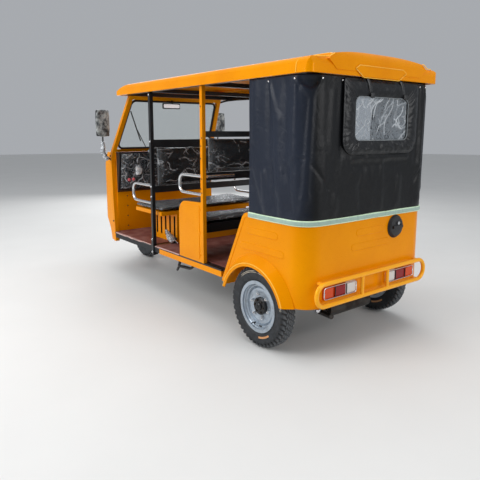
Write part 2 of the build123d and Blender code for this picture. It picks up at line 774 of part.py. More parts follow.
def inner_front_panel():
    """The flat panel in front of the driver's feet, pierced for the steering column."""
    half = PILLAR_OUT - PILLAR_W - SEAT
    panel = block(PANEL_X - 26, PANEL_X - 26 + PANEL_T, -half, half, FLOOR_TOP, COWL_TOP - 2)
    return panel - rod(steer_point(HEAD_LOW + 20), steer_point(BAR_S + 80), HEAD_R + 15)


def dashboard():
    """A black fascia behind the panel, notched for the steering column."""
    half = PILLAR_OUT - PILLAR_W - SEAT
    rear = PANEL_X - 26
    top = COWL_TOP - 2
    shape = (
        (rear, top - 386),
        (rear, top),
        (rear - 70, top),
        (rear - 78, top - 36),
        (rear - 30, top - 366),
    )
    fascia = side_plate(shape, -half, half)
    notch = HEAD_R + 45
    return fascia - block(rear - 120, rear + 5, -notch, notch, top - 226, top + 14)


def windscreen_fittings():
    """Wiper outside the glass and the mirror that hangs from the header."""
    lean = math.atan2(pillar_x(GLASS_LOW) - pillar_x(GLASS_HIGH), GLASS_HIGH - GLASS_LOW)
    ahead = Vector(math.cos(lean), 0, math.sin(lean))

    def outside(y, z, out):
        """A point a distance out from the pillars' front plane."""
        return Vector(pillar_x(z), y, z) + ahead * out

    foot = GLASS_LOW - 13
    wiper = rod(outside(190, foot, SEAT), outside(190, foot, 18), 10)
    wiper += rod(outside(190, foot, 13), outside(369, 1432, 10), 4)
    wiper += rod(outside(287, 1295, 0), outside(451, 1569, 0), 6)
    wiper += rod(outside(369, 1432, -4), outside(369, 1432, 13), 5)
    stalk = ROOF_EDGE - 15
    back = HEADER_T * math.cos(lean)
    start = outside(60, stalk, -back - SEAT)
    bend = outside(60, stalk, -back - 24)
    mirror_x = bend.X - 8
    mirror = soft_block(mirror_x - 18, mirror_x, -5, 185, stalk - 92, stalk - 40, 8)
    mirror += rod(start, bend, 6) + Pos(*bend) * Sphere(6)
    mirror += rod(bend, (mirror_x - 6, 80, stalk - 45), 6)
    return Compound([wiper, mirror])


def roof_side_view(rear, front, top, low):
    """The roof seen from the side: upright rear, rounded over the top, long curve down to the header."""
    return make_face(
        Plane.XZ
        * (
            Line((rear, low), (rear, top - 60))
            + ThreePointArc((rear, top - 60), (rear + 20, top - 18), (rear + 70, top))
            + Line((rear + 70, top), (ROOF_FRONT - 420, top))
            + ThreePointArc((ROOF_FRONT - 420, top), (ROOF_FRONT - 160, top - 42), (front, low))
            + Line((front, low), (rear, low))
        )
    )


def roof_body(inset):
    """The lower roof from rail to rail: side view, cross-section and plan outline cut by one another."""
    edge = ROOF_EDGE - (5 if inset else 0)
    rear = ROOF_REAR + inset
    front = ROOF_FRONT - inset
    half = ROOF_HALF - inset
    side_top = ROOF_SIDE_TOP - inset
    middle = ROOF_SIDE_TOP + 20 - inset
    section = make_face(
        Plane.YZ
        * (
            Line((-half, edge), (-half + 6, side_top - 30))
            + ThreePointArc((-half + 6, side_top - 30), (-half + 22, side_top - 6), (-half + 60, side_top))
            + ThreePointArc((-half + 60, side_top), (0, middle), (half - 60, side_top))
            + ThreePointArc((half - 60, side_top), (half - 22, side_top - 6), (half - 6, side_top - 30))
            + Line((half - 6, side_top - 30), (half, edge))
            + Line((half, edge), (-half, edge))
        )
    )
    plan = make_face(
        Polyline(
            (rear, -half),
            (rear, half),
            (front - 60, half),
            (front, half - 260),
            (front, -half + 260),
            (front - 60, -half),
            close=True,
        )
    )
    plan = fillet(plan.vertices(), ROOF_CORNER_R)
    solid = extrude(roof_side_view(rear, front, middle, edge), 900, both=True)
    solid &= extrude(section, 3 * WHEELBASE, both=True)
    return solid & plan_prism(plan, edge, ROOF_CROWN)


def roof_deck(inset):
    """The raised middle of the roof, proud of the rear face and stepped down at its sides."""
    low = ROOF_EDGE + 27
    top = ROOF_CROWN - inset
    side = DECK_HALF_TOP - inset
    foot = DECK_HALF_LOW - inset
    section = make_face(
        Plane.YZ
        * (
            Polyline((side, top - 33), (foot, ROOF_SIDE_TOP - 6), (foot - 65, low), (-foot + 65, low))
            + Polyline((-foot + 65, low), (-foot, ROOF_SIDE_TOP - 6), (-side, top - 33))
            + ThreePointArc((-side, top - 33), (0, top), (side, top - 33))
        )
    )
    view = roof_side_view(ROOF_REAR - DECK_OUT + inset, ROOF_FRONT - 24 - inset, top, low)
    return extrude(view, 900, both=True) & extrude(section, 3 * WHEELBASE, both=True)


def roof_shell():
    """The roof moulding with its raised deck and the six-sided pad on its rear face, hollow below."""
    shell = roof_body(0) + roof_deck(0)
    rear = Plane(origin=(ROOF_REAR + 2, 0, ROOF_PAD_LOW), x_dir=(0, -1, 0), z_dir=(-1, 0, 0))
    shell += extrude(rear * make_face(Polyline(*ROOF_PAD, close=True)), 2 * DECK_OUT + 2, taper=30)
    return shell - roof_body(ROOF_T) - roof_deck(ROOF_T)


def roof_side_rails():
    """A rail along each side under the roof moulding."""
    out = ROOF_HALF - ROOF_T - 12
    rail = block(ROOF_REAR + ROOF_T + 50, ROOF_FRONT - 120, out - ROOF_RAIL_W, out, ROOF_EDGE, ROOF_EDGE + ROOF_RAIL_H)
    return both_sides(rail)


def roof_cross_bars():
    """Cross bars between the roof's side rails, over the posts and at both ends."""
    half = ROOF_HALF - ROOF_T - 12 - ROOF_RAIL_W
    bars = []
    for x in (ROOF_REAR + ROOF_T + 70, REAR_POST_X, FRONT_POST_X, ROOF_FRONT - 140):
        bars.append(block(x - 20, x + 20, -half, half, ROOF_EDGE, ROOF_EDGE + ROOF_RAIL_H))
    return Compound(bars)


def curtain_outline(inset, rear, front):
    """Plan outline of the curtain, rounded at its rear corners."""
    half = BODY_HALF + SEAT + CURTAIN_T - inset
    face = make_face(Polyline((front, -half), (rear + inset, -half), (rear + inset, half), (front, half), close=True))
    corners = face.vertices().filter_by(lambda v: v.X < 0)
    return fillet(corners, CORNER_R + SEAT + CURTAIN_T - inset)


def curtain_body(inset, low, high):
    """The curtain as a solid that hangs straight down from the roof."""
    front = CURTAIN_FRONT + (60 if inset else 0)
    return plan_prism(curtain_outline(inset, TUB_REAR - SEAT - CURTAIN_T, front), low, high)


def window_cutter():
    """The rear window's outline with rounded corners, run through the curtain."""
    frame = RectangleRounded(WINDOW_W, WINDOW_HIGH - WINDOW_LOW, 40)
    plane = Plane(origin=(TUB_REAR - 200, WINDOW_Y, (WINDOW_LOW + WINDOW_HIGH) / 2), x_dir=(0, 1, 0), z_dir=(1, 0, 0))
    return extrude(plane * frame, 400, dir=(1, 0, 0))


def curtain_wall():
    """The curtain's wall before the window is cut."""
    low = HEM_BOTTOM + HEM_H
    return curtain_body(0, low, ROOF_EDGE) - curtain_body(CURTAIN_T, low, ROOF_EDGE)


def rear_curtain():
    """The curtain round the rear bench, from the hem to the roof."""
    return curtain_wall() - window_cutter()


def curtain_window():
    """The clear pane in the curtain's rear wall."""
    return curtain_wall() & window_cutter()


def curtain_hem():
    """The stiff tape along the curtain's foot, outside the tub."""
    out = curtain_outline(CURTAIN_T - HEM_T, TUB_REAR - SEAT - CURTAIN_T, CURTAIN_FRONT)
    inner = curtain_outline(CURTAIN_T, TUB_REAR - SEAT - CURTAIN_T, CURTAIN_FRONT + 60)
    ring = plan_prism(out, HEM_BOTTOM, HEM_BOTTOM + HEM_H) - plan_prism(inner, HEM_BOTTOM - 5, HEM_BOTTOM + HEM_H + 5)
    return ring


def posts(x, foot=None):
    """A pair of square posts from the floor to the roof. A foot is a strap down the floor's edge to that height."""
    x0 = x - POST_W / 2
    x1 = x + POST_W / 2
    post = block(x0, x1, POST_OUT - POST_W, POST_OUT, FLOOR_TOP, ROOF_EDGE)
    if foot:
        strap = SILL_HALF + SEAT
        post += block(x0, x1, strap, strap + FOOT_T, foot, FLOOR_TOP + 60)
        post += block(x0, x1, SILL_HALF - SILL_W, strap + FOOT_T, foot, FLOOR_LOW - SILL_H - SEAT)
    return both_sides(post)


def side_panels():
    """The low guards ahead of the rear posts, rounded at the top front corner, their middle pressed out."""
    start = REAR_POST_X + POST_W / 2
    end = REAR_POST_X + GUARD_REACH
    shape = side_face(((start, FLOOR_TOP), (end, FLOOR_TOP), (end, TUB_TOP - 11), (start, TUB_TOP + 2)))
    corner = shape.vertices().filter_by(lambda v: v.X > end - 1 and v.Z > FLOOR_TOP + 100)
    shape = fillet(corner, 95)
    panel = Pos(0, SILL_HALF - 20, 0) * extrude(shape, 20, dir=(0, 1, 0))
    pressing = Pos(0, SILL_HALF - 1, 0) * extrude(offset(shape, -ROLL_W), PAD_OUT + 1, dir=(0, 1, 0))
    return both_sides(panel + pressing)


def loop_handle(x0, x1, z0, z1, y, radius):
    """A tube bent into a U lying in the side view, its two ends on a post."""
    bend = (z1 - z0) / 2 * 0.8
    path = Plane.XZ * FilletPolyline((x0, z0), (x1, z0), (x1, z1), (x0, z1), radius=bend)
    tube = sweep(Plane(origin=(x0, 0, z0), z_dir=(1, 0, 0)) * Circle(radius), path=path)
    return Pos(0, y, 0) * tube


def grab_handles():
    """Chrome loops on the front and rear posts, both sides, and short rails behind the middle backrest."""
    y = POST_OUT - POST_W / 2
    front_x = FRONT_POST_X + POST_W / 2 + SEAT
    rear_x = REAR_POST_X + POST_W / 2 + SEAT
    front = loop_handle(front_x, FRONT_POST_X + LOOP_REACH, LOOP_LOW, LOOP_HIGH, y, LOOP_R)
    rear = loop_handle(rear_x, REAR_POST_X + GUARD_REACH, REAR_LOOP_LOW, REAR_LOOP_HIGH, y, LOOP_R)
    rail_x = REAR_POST_X - BACK_BAR_T / 2 - SEAT - LOOP_R
    rail_z = MID_BACK[0] - BACK_BAR_LOW_H / 2
    rail = rod((rail_x, POST_OUT - POST_W - SEAT, rail_z), (rail_x, POST_OUT - POST_W - 245, rail_z), LOOP_R)
    return both_sides(Compound([front, rear, rail]))


def rear_bumper():
    """A tube loop with two uprights, held off the tub by four short arms."""
    bend = (BUMPER_HIGH - BUMPER_LOW) / 2 * 0.98
    corners = ((0, BUMPER_LOW), (BUMPER_HALF, BUMPER_LOW), (BUMPER_HALF, BUMPER_HIGH), (0, BUMPER_HIGH))
    path = Plane.YZ * FilletPolyline(*corners, radius=bend)
    tube = sweep(Plane(origin=(0, 0, BUMPER_LOW), z_dir=(0, 1, 0)) * Circle(BUMPER_R), path=path)
    half = Pos(BUMPER_X, 0, 0) * tube
    loop = half + mirror(half, about=Plane.XZ)
    for side in (-1, 1):
        y = side * BUMPER_POST_Y
        loop += rod((BUMPER_X, y, BUMPER_LOW), (BUMPER_X, y, BUMPER_HIGH), BUMPER_R - 2)
        arm = side * (BUMPER_HALF - 60)
        for z in (BUMPER_LOW, BUMPER_HIGH):
            loop += block(BUMPER_X, TUB_REAR - SEAT, arm - 15, arm + 15, z - 5, z + 5)
    return loop


def tail_lamps():
    """Two lamp units in the tub's bezels, each a housing with three lenses."""
    lens_h = TAIL_H - 12
    lenses = ((-103.0, 84.0), (-2.0, 104.0), (101.0, 88.0))
    rear = Plane(origin=(TUB_REAR - SEAT, TAIL_Y, TAIL_Z), x_dir=(0, -1, 0), z_dir=(-1, 0, 0))
    lamp = extrude(rear * RectangleRounded(TAIL_W, TAIL_H, 16), TAIL_OUT * 0.6)
    for middle, width in lenses:
        lamp += extrude(rear * Pos(middle, 0, 0) * RectangleRounded(width, lens_h, 10), TAIL_OUT - SEAT, taper=12)
    return both_sides(lamp)


def fuel_cap():
    """The round filler cap on the rear face: a low dome with a grip bar across it."""
    profile = ((0, 0), (72, 0), (72, 10), (64, 20), (40, 24), (0, 25))
    dome = revolve(make_face(Polyline(*[(radius, out) for radius, out in profile], close=True)), Axis.Y)
    cap = Pos(TUB_REAR - SEAT, CAP_Y, CAP_Z) * Rot(0, 0, 90) * dome
    return cap + block(TUB_REAR - 34, TUB_REAR - 20, CAP_Y - 50, CAP_Y + 50, CAP_Z - 9, CAP_Z + 9)


def door_mirrors():
    """A mirror on an arm at each front pillar."""
    foot = (PANEL_X + 18, PILLAR_OUT - 10, MIRROR_FOOT)
    elbow = (PANEL_X - 4, PILLAR_OUT + 80, MIRROR_FOOT + 70)
    head = (PANEL_X - 39, PILLAR_OUT + 92, MIRROR_FOOT + 330)
    arm = rod(foot, elbow, 7) + Pos(*elbow) * Sphere(7) + rod(elbow, head, 7)
    arm -= block(PANEL_X - 144, PANEL_X + 56, 0, PILLAR_OUT + SEAT, MIRROR_FOOT - 110, MIRROR_FOOT + 190)
    low = MIRROR_FOOT + 230
    arm += soft_block(head[0] - 20, head[0] + 10, PILLAR_OUT + 30, PILLAR_OUT + 155, low, low + 240, 12)
    return both_sides(arm)


def exhaust():
    """Down pipe, long pipe, muffler behind the axle and tail pipe."""
    start = ENGINE[0]
    points = (
        (start - SEAT, -120, 300),
        (start - 40, -120, 300),
        (start - 130, -120, 205),
        (-160, -120, 205),
        (-240, -120, 235),
    )
    pipe = Part()
    for begin, end in zip(points, points[1:]):
        pipe += rod(begin, end, 17)
        pipe += Pos(*end) * Sphere(17)
    pipe += side_disc(-240, 235, 50, -160, RAIL_Y - 60)
    pipe += rod((-240, RAIL_Y - 70, 235), (-240, RAIL_Y, 235), 16)
    pipe += Pos(-240, RAIL_Y, 235) * Sphere(16)
    pipe += rod((-240, RAIL_Y, 235), (-380, RAIL_Y + 40, 250), 16)
    return pipe


def drive_shaft():
    """The shaft from the engine's rear face to the axle's nose."""
    return rod((DIFF_R + 30 + SEAT, 0, TYRE_R), (ENGINE[0] - SEAT, 0, TYRE_R), 17)


nodes = {
    "frame_rails": frame_rails(),
    "cross_members": cross_members(),
    "head_frame": head_frame(),
    "rear_axle": rear_axle(),
    "leaf_springs": leaf_springs(),
    "engine_block": block(ENGINE[0], ENGINE[1], -ENGINE[2], ENGINE[2], ENGINE[3], ENGINE[4]),
    "drive_shaft": drive_shaft(),
    "exhaust": exhaust(),
    "floor_pan": floor_pan(),
    "side_sills": both_sides(
        block(TUB_FRONT_LOW + 22, SILL_FRONT, SILL_HALF - 40, SILL_HALF, FLOOR_LOW - SILL_H, FLOOR_LOW)
    ),
    "rear_tub": rear_tub(),
    "front_cowl": front_cowl(),
    "headlamps": headlamps(),
    "inner_front_panel": inner_front_panel(),
    "dashboard": dashboard(),
    "front_pillars": front_pillars(),
    "windscreen_rails": windscreen_rails(),
    "windscreen_glass": windscreen_glass(),
    "windscreen_fittings": windscreen_fittings(),
    "front_posts": posts(FRONT_POST_X, POST_FOOT),
    "rear_posts": posts(REAR_POST_X),
    "side_panels": side_panels(),
    "roof_shell": roof_shell(),
    "roof_side_rails": roof_side_rails(),
    "roof_cross_bars": roof_cross_bars(),
    "rear_curtain": rear_curtain(),
    "curtain_window": curtain_window(),
    "curtain_hem": curtain_hem(),
    "driver_seat_base": driver_seat_base(),
    "driver_cushion": seat_cushion(DRIVER_SEAT, 18),
    "backrest_bars": backrest_bars(),
    "driver_backrest": backrest(FRONT_POST_X - BACK_BAR_T / 2, DRIVER_BACK),
    "mid_seat_base": mid_seat_base(),
    "mid_cushion": seat_cushion(MID_SEAT, 18),
    "mid_backrest": backrest(REAR_POST_X - BACK_BAR_T / 2, MID_BACK),
    "rear_seat_base": rear_seat_base(),
    "rear_cushion": seat_cushion(REAR_SEAT),
    "rear_backrest": backrest(TUB_REAR + TUB_WALL + SEAT, REAR_BACK),
    "grab_handles": grab_handles(),
    "rear_bumper": rear_bumper(),
    "tail_lamps": tail_lamps(),
    "fuel_cap": fuel_cap(),
    "door_mirrors": door_mirrors(),
    "front_fork": front_fork(),
    "handlebar": handlebar(),
    "front_mudguard": front_mudguard(),
    "front_wheel": front_wheel(),
    "front_tyre": tyre(WHEELBASE, 0),
    "rear_left_wheel": disc_wheel(0, WHEEL_Y, 1),
    "rear_left_tyre": tyre(0, WHEEL_Y),
    "rear_right_wheel": disc_wheel(0, -WHEEL_Y, -1),
    "rear_right_tyre": tyre(0, -WHEEL_Y),
}

for name, shape in nodes.items():
    export_step(Pos(-ORIGIN_X, 0, 0) * shape, f"parts/{name}.step")
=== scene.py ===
"""Looks of the passenger motor tricycle round its CAD frame: paint, rubber, cloth, film and small trim."""
import json
import math

import bpy
import numpy as np
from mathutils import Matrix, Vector


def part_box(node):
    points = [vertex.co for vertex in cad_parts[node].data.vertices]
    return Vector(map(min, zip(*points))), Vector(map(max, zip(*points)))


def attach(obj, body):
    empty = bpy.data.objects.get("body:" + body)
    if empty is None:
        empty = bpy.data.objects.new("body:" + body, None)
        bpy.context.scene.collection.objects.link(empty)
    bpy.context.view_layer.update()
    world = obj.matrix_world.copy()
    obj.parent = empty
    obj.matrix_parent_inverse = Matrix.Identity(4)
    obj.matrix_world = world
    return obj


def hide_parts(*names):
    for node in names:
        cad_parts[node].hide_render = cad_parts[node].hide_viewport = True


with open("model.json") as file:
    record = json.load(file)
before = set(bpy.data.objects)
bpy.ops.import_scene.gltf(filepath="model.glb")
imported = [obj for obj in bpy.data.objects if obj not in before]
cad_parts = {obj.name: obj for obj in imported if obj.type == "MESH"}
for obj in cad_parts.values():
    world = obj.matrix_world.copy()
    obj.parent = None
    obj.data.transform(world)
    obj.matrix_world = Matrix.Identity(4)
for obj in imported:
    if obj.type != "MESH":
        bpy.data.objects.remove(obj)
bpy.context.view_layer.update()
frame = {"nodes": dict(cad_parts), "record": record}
nodes = frame["nodes"]

# The axles' places, the rear wheels' half track and a tyre's radius in metres, from the tyres themselves
AXLE_X = sum(corner.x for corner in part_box("rear_left_tyre")) / 2
WHEEL_Y = sum(corner.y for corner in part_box("rear_left_tyre")) / 2
TYRE_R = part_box("rear_left_tyre")[1].z / 2
FRONT_X = sum(corner.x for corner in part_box("front_tyre")) / 2
# The two sides, and which way from the middle each lies
SIDES = (("left", 1), ("right", -1))


def at(x, y, z):
    """A point in the frame, from millimetres ahead of the rear axle, left of the middle and up."""
    return Vector((AXLE_X + x / 1000, y / 1000, z / 1000))


# Camera, from a fit of the body's corners in the photograph
CAMERA = at(-2418, 2656, 1384)
CAMERA_YAW = -38.06
CAMERA_PITCH = -9.165
LENS = 38.41
SHIFT_Y = -0.054


def place_camera():
    """The photograph's camera: level horizon, turned by its yaw and tipped by its pitch."""
    data = bpy.data.cameras.new("camera")
    data.lens = LENS
    data.sensor_width = 36
    data.shift_y = SHIFT_Y
    data.clip_end = 100
    camera = bpy.data.objects.new("camera", data)
    camera.location = CAMERA
    camera.rotation_euler = (math.radians(90 + CAMERA_PITCH), 0, math.radians(CAMERA_YAW - 90))
    bpy.context.collection.objects.link(camera)
    bpy.context.scene.camera = camera


# Materials


def paint(code):
    """An sRGB hex colour as linear values with full alpha."""
    parts = [int(code[i:i + 2], 16) / 255 for i in (0, 2, 4)]
    return [(p / 12.92 if p <= 0.04045 else ((p + 0.055) / 1.055) ** 2.4) for p in parts] + [1.0]


def add(tree, kind, inputs=None, out=0, **settings):
    """Adds one node with its settings, feeds it sockets, values or hex colours, and returns one output."""
    made = tree.nodes.new("ShaderNode" + kind)
    for name, value in settings.items():
        setattr(made, name, value)
    for name, value in (inputs or {}).items():
        if isinstance(value, bpy.types.NodeSocket):
            tree.links.new(value, made.inputs[name])
        else:
            made.inputs[name].default_value = paint(value) if isinstance(value, str) else value
    return made.outputs[out] if len(made.outputs) else made


def finish_named(name, build, *choices, **more):
    """A material whose surface is what build returns for its node tree, the place and its choices."""
    made = bpy.data.materials.new(name)
    made.use_nodes = True
    tree = made.node_tree
    tree.nodes.clear()
    place = add(tree, "TexCoord", out="Object")
    add(tree, "OutputMaterial", {"Surface": build(tree, place, *choices, **more)})
    return made


def from_value(tree, value, middle):
    """How far a value lies from a middle one."""
    step = add(tree, "Math", {0: value, 1: middle}, operation="SUBTRACT")
    return add(tree, "Math", {0: step}, operation="ABSOLUTE")


def from_middle(tree, place):
    """How far the place lies from the vehicle's middle plane, in metres."""
    side = add(tree, "SeparateXYZ", {"Vector": place}, "Y")
    return add(tree, "Math", {0: side}, operation="ABSOLUTE")


NOISE = ("Scale", "Detail", "Roughness", "Distortion")
SPREAD = ("From Min", "From Max", "To Min", "To Max")


def two_tone(tree, place, colours, soft, fine=None, cells=None, edge=None, rough=0.5, bump=None, more=None):
    """Most finishes: a soft noise blends two colours, between its edge values if it has any.

    The fine noise, or else the same one, spreads the roughness and lifts the surface by (strength, distance).
    Cells, where there are any, lift it instead."""
    looks = [dict(zip(NOISE, look)) for look in (soft, fine) if look]
    noises = [add(tree, "TexNoise", {"Vector": place, **look}) for look in looks]
    where = noises[0]
    if edge:
        where = add(tree, "MapRange", {"Value": where, "From Min": edge[0], "From Max": edge[1]})
    skin = {"Base Color": colours, "Roughness": rough, **(more or {})}
    if isinstance(colours, tuple):
        skin["Base Color"] = add(tree, "Mix", {0: where, 6: colours[0], 7: colours[1]}, 2, data_type="RGBA")
    if isinstance(rough, tuple):
        skin["Roughness"] = add(tree, "MapRange", {"Value": noises[-1], **dict(zip(SPREAD, rough))})
    lift = noises[-1]
    if cells:
        lift = add(tree, "TexVoronoi", {"Vector": place, "Scale": cells[0], "Randomness": cells[1]})
    if bump:
        skin["Normal"] = add(tree, "Bump", {"Height": lift, "Strength": bump[0], "Distance": bump[1]})
    return add(tree, "BsdfPrincipled", skin)


PLATE = {
    "colours": "D9DBDD",
    "soft": (45, 5),
    "rough": (0.4, 0.8, 0.07, 0.2),
    "bump": (0.04, 0.0005),
    "more": {"Metallic": 1.0},
}
SOOTY_STEEL = {
    "colours": ("45423F", "2B231D"),
    "soft": (14, 6),
    "edge": (0.4, 0.7),
    "rough": 0.38,
    "bump": (0.1, 0.0008),
    "more": {"Metallic": 0.9},
}
SATIN_BLACK = {
    "colours": ("131417", "26272A"),
    "soft": (5, 5),
    "fine": (60, 8, 0.7),
    "edge": (0.45, 0.8),
    "rough": (0.3, 0.75, 0.24, 0.5),
    "bump": (0.12, 0.0006),
}

MOULDED = {
    "colours": ("101113", "222326"),
    "soft": (30, 4),
    "cells": (900, 1),
    "rough": (0, 1, 0.38, 0.55),
    "bump": (0.25, 0.0004),
}

# Finishes of two colours. A noise is its features to the metre, its detail, its roughness and its distortion
TWO_TONES = {
    # Satin black on posts and bars: thin film over the weld scale, with dust lying on it
    "satin_black_enamel": SATIN_BLACK,
    # Black-painted sheet floor seen from below and at its edges
    "painted_floor_steel": SATIN_BLACK,
    # Bright plate on bent tube: mirror-like, with faint polishing waves and finger haze
    "chrome_plate": PLATE,
    # Zinc on bolts and the lever, as bright as the plate
    "bright_zinc": PLATE,
    # Heat-dulled exhaust steel: sooty brown patches over dark grey
    "heat_dulled_steel": SOOTY_STEEL,
    # Old passivated zinc on hub and spring bolts, as brown as the exhaust
    "brassy_zinc": SOOTY_STEEL,
    # Injection-moulded plastic with a fine leather-like grain of about 1 mm
    "moulded_black_plastic": MOULDED,
    "mirror_shell_plastic": MOULDED,
    # Bubble wrap of 8 mm cells over a dark shell: grey, with a bright glint on each bubble
    "bubble_film": {
        "colours": ("3A3D40", "B4B8B6"),
        "soft": (14, 5, 0.7),
        "cells": (120, 0.25),
        "edge": (0.42, 0.62),
        "rough": 0.22,
        "bump": (0.7, -0.003),
    },
    # Sand-cast engine metal: grainy, oily grey
    "cast_alloy": {
        "colours": ("1C1D1F", "3A3B3D"),
        "soft": (240, 6),
        "rough": 0.6,
        "bump": (0.4, 0.0008),
        "more": {"Metallic": 0.5},
    },
    # White foam foil, crumpled: matt white folds, grey in the valleys as painted shade, and small silver
    # glints
    "white_foil": {
        "colours": ("6F757B", "E6EAEE"),
        "soft": (60, 5, 0.6, 0.8),
        "edge": (0.38, 0.6),
        "rough": 0.28,
        "bump": (0.8, 0.006),
        "more": {"Metallic": 0.25},
    },
    # Fresh packing foam: almost white, with soft grey in its folds as painted shade
    "bright_foil": {
        "colours": ("A9B0B6", "F8FAFC"),
        "soft": (45, 4, 0.5, 0.8),
        "edge": (0.36, 0.52),
        "rough": 0.4,
        "bump": (0.7, 0.005),
    },
    # Pale grey vinyl cord, a little soiled
    "grey_piping": {"colours": ("8C9194", "5F6467"), "soft": (40, 4), "rough": 0.4},
    # Plate under a thin cloudy wrapping: pale and soft rather than mirror-like
    "hazy_plate": {
        "colours": ("DEE0E2", "CFD0D0"),
        "soft": (60, 5),
        "rough": (0.3, 0.8, 0.13, 0.26),
        "more": {"Metallic": 0.88},
    },
    # Moulded red plastic, a little faded on top
    "knob_red": {"colours": ("E2484F", "F08A90"), "soft": (90, 3), "rough": 0.3},
    # Mirror glass: white and glowing, a painted reflection of the bright sky, with a trace of dust
    "mirror_glass_painted_glow": {
        "colours": "FFFFFF",
        "soft": (70, 5),
        "rough": (0.45, 0.8, 0.03, 0.14),
        "more": {"Emission Color": "F4F7FF", "Emission Strength": 0.42},
    },
    # Matt pale floor
    "pale_floor": {"colours": ("E2E2E0", "DADAD8"), "soft": (1.5, 4), "rough": 0.85},
}


def glossy_enamel(tree, place, base, shade, coat=0.07):
    """Sprayed enamel on steel and glass fibre: deep gloss, orange peel of about 3 mm, clouds of dust."""
    cloud = add(tree, "TexNoise", {"Vector": place, "Scale": 2.5, "Detail": 6.0, "Roughness": 0.62})
    speck = add(tree, "TexNoise", {"Vector": place, "Scale": 160.0, "Detail": 3.0})
    peel = add(tree, "TexNoise", {"Vector": place, "Scale": 330.0, "Detail": 2.0})
    wave = add(tree, "TexNoise", {"Vector": place, "Scale": 7.0, "Detail": 1.0})
    tint = add(tree, "MapRange", {"Value": cloud, "From Min": 0.35, "From Max": 0.7})
    rough = add(tree, "MapRange", {"Value": speck, **dict(zip(SPREAD, (0.3, 0.7, 0.27, 0.3)))})
    fine = add(tree, "Bump", {"Height": peel, "Strength": 0.004, "Distance": 0.001})
    look = {
        "Base Color": add(tree, "Mix", {0: tint, 6: base, 7: shade}, 2, data_type="RGBA"),
        "Roughness": rough,
        "Normal": add(tree, "Bump", {"Height": wave, "Strength": 0.14, "Distance": 0.003, "Normal": fine}),
        "Metallic": 0.08,
        "Specular IOR Level": 0.14,
        "Specular Tint": "FFA414",
        "Coat Weight": coat,
        "Coat Roughness": 0.06,
        "Coat IOR": 1.5,
    }
    return add(tree, "BsdfPrincipled", look)


BODY_YELLOW = ("F09700", "E78B00")


def chassis_black(tree, place):
    """Brushed-on chassis black under the floor: dull, with road dust thicker on what is lowest."""
    height = add(tree, "SeparateXYZ", {"Vector": place}, "Z")
    low = add(tree, "MapRange", {"Value": height, "From Min": 0.36, "From Max": 0.1})
    blot = add(tree, "TexNoise", {"Vector": place, "Scale": 18.0, "Detail": 7.0})
    much = add(tree, "Math", {0: low, 1: blot}, operation="MULTIPLY")
    colour = add(tree, "Mix", {0: much, 6: "15161A", 7: "5A554E"}, 2, data_type="RGBA")
    bump = add(tree, "Bump", {"Height": blot, "Strength": 0.2, "Distance": 0.001})
    return add(tree, "BsdfPrincipled", {"Base Color": colour, "Roughness": 0.58, "Normal": bump})


def black_vinyl(tree, place):
    """Seat vinyl: soft black skin with a 2 mm pebble and slow shading where it is pulled."""
    pebble = add(tree, "TexVoronoi", {"Vector": place, "Scale": 480.0, "Randomness": 0.9})
    pull = add(tree, "TexNoise", {"Vector": place, "Scale": 9.0, "Detail": 3.0})
    colour = add(tree, "Mix", {0: pull, 6: "0F1012", 7: "1B1C1F"}, 2, data_type="RGBA")
    fine = add(tree, "Bump", {"Height": pebble, "Strength": 0.3, "Distance": 0.0005})
    bump = add(tree, "Bump", {"Height": pull, "Strength": 0.3, "Distance": 0.006, "Normal": fine})
    look = {"Base Color": colour, "Roughness": 0.36, "Normal": bump, "Sheen Weight": 0.03}
    return add(tree, "BsdfPrincipled", look)


def border_vinyl(tree, place):
    """Padded black vinyl with a wet shine on its wrinkles, which run every way at 20 to 60 mm."""
    wide = add(tree, "TexNoise", {"Vector": place, "Scale": 24.0, "Detail": 3.0, "Distortion": 1.2})
    fine = add(tree, "TexNoise", {"Vector": place, "Scale": 300.0, "Detail": 3.0})
    soft = add(tree, "Bump", {"Height": wide, "Strength": 0.45, "Distance": 0.006})
    bump = add(tree, "Bump", {"Height": fine, "Strength": 0.12, "Distance": 0.0005, "Normal": soft})
    colour = add(tree, "Mix", {0: wide, 6: "0C0D0F", 7: "191B1F"}, 2, data_type="RGBA")
    look = {"Base Color": colour, "Normal": bump, "Roughness": 0.3, "Specular IOR Level": 0.3}
    return add(tree, "BsdfPrincipled", look)


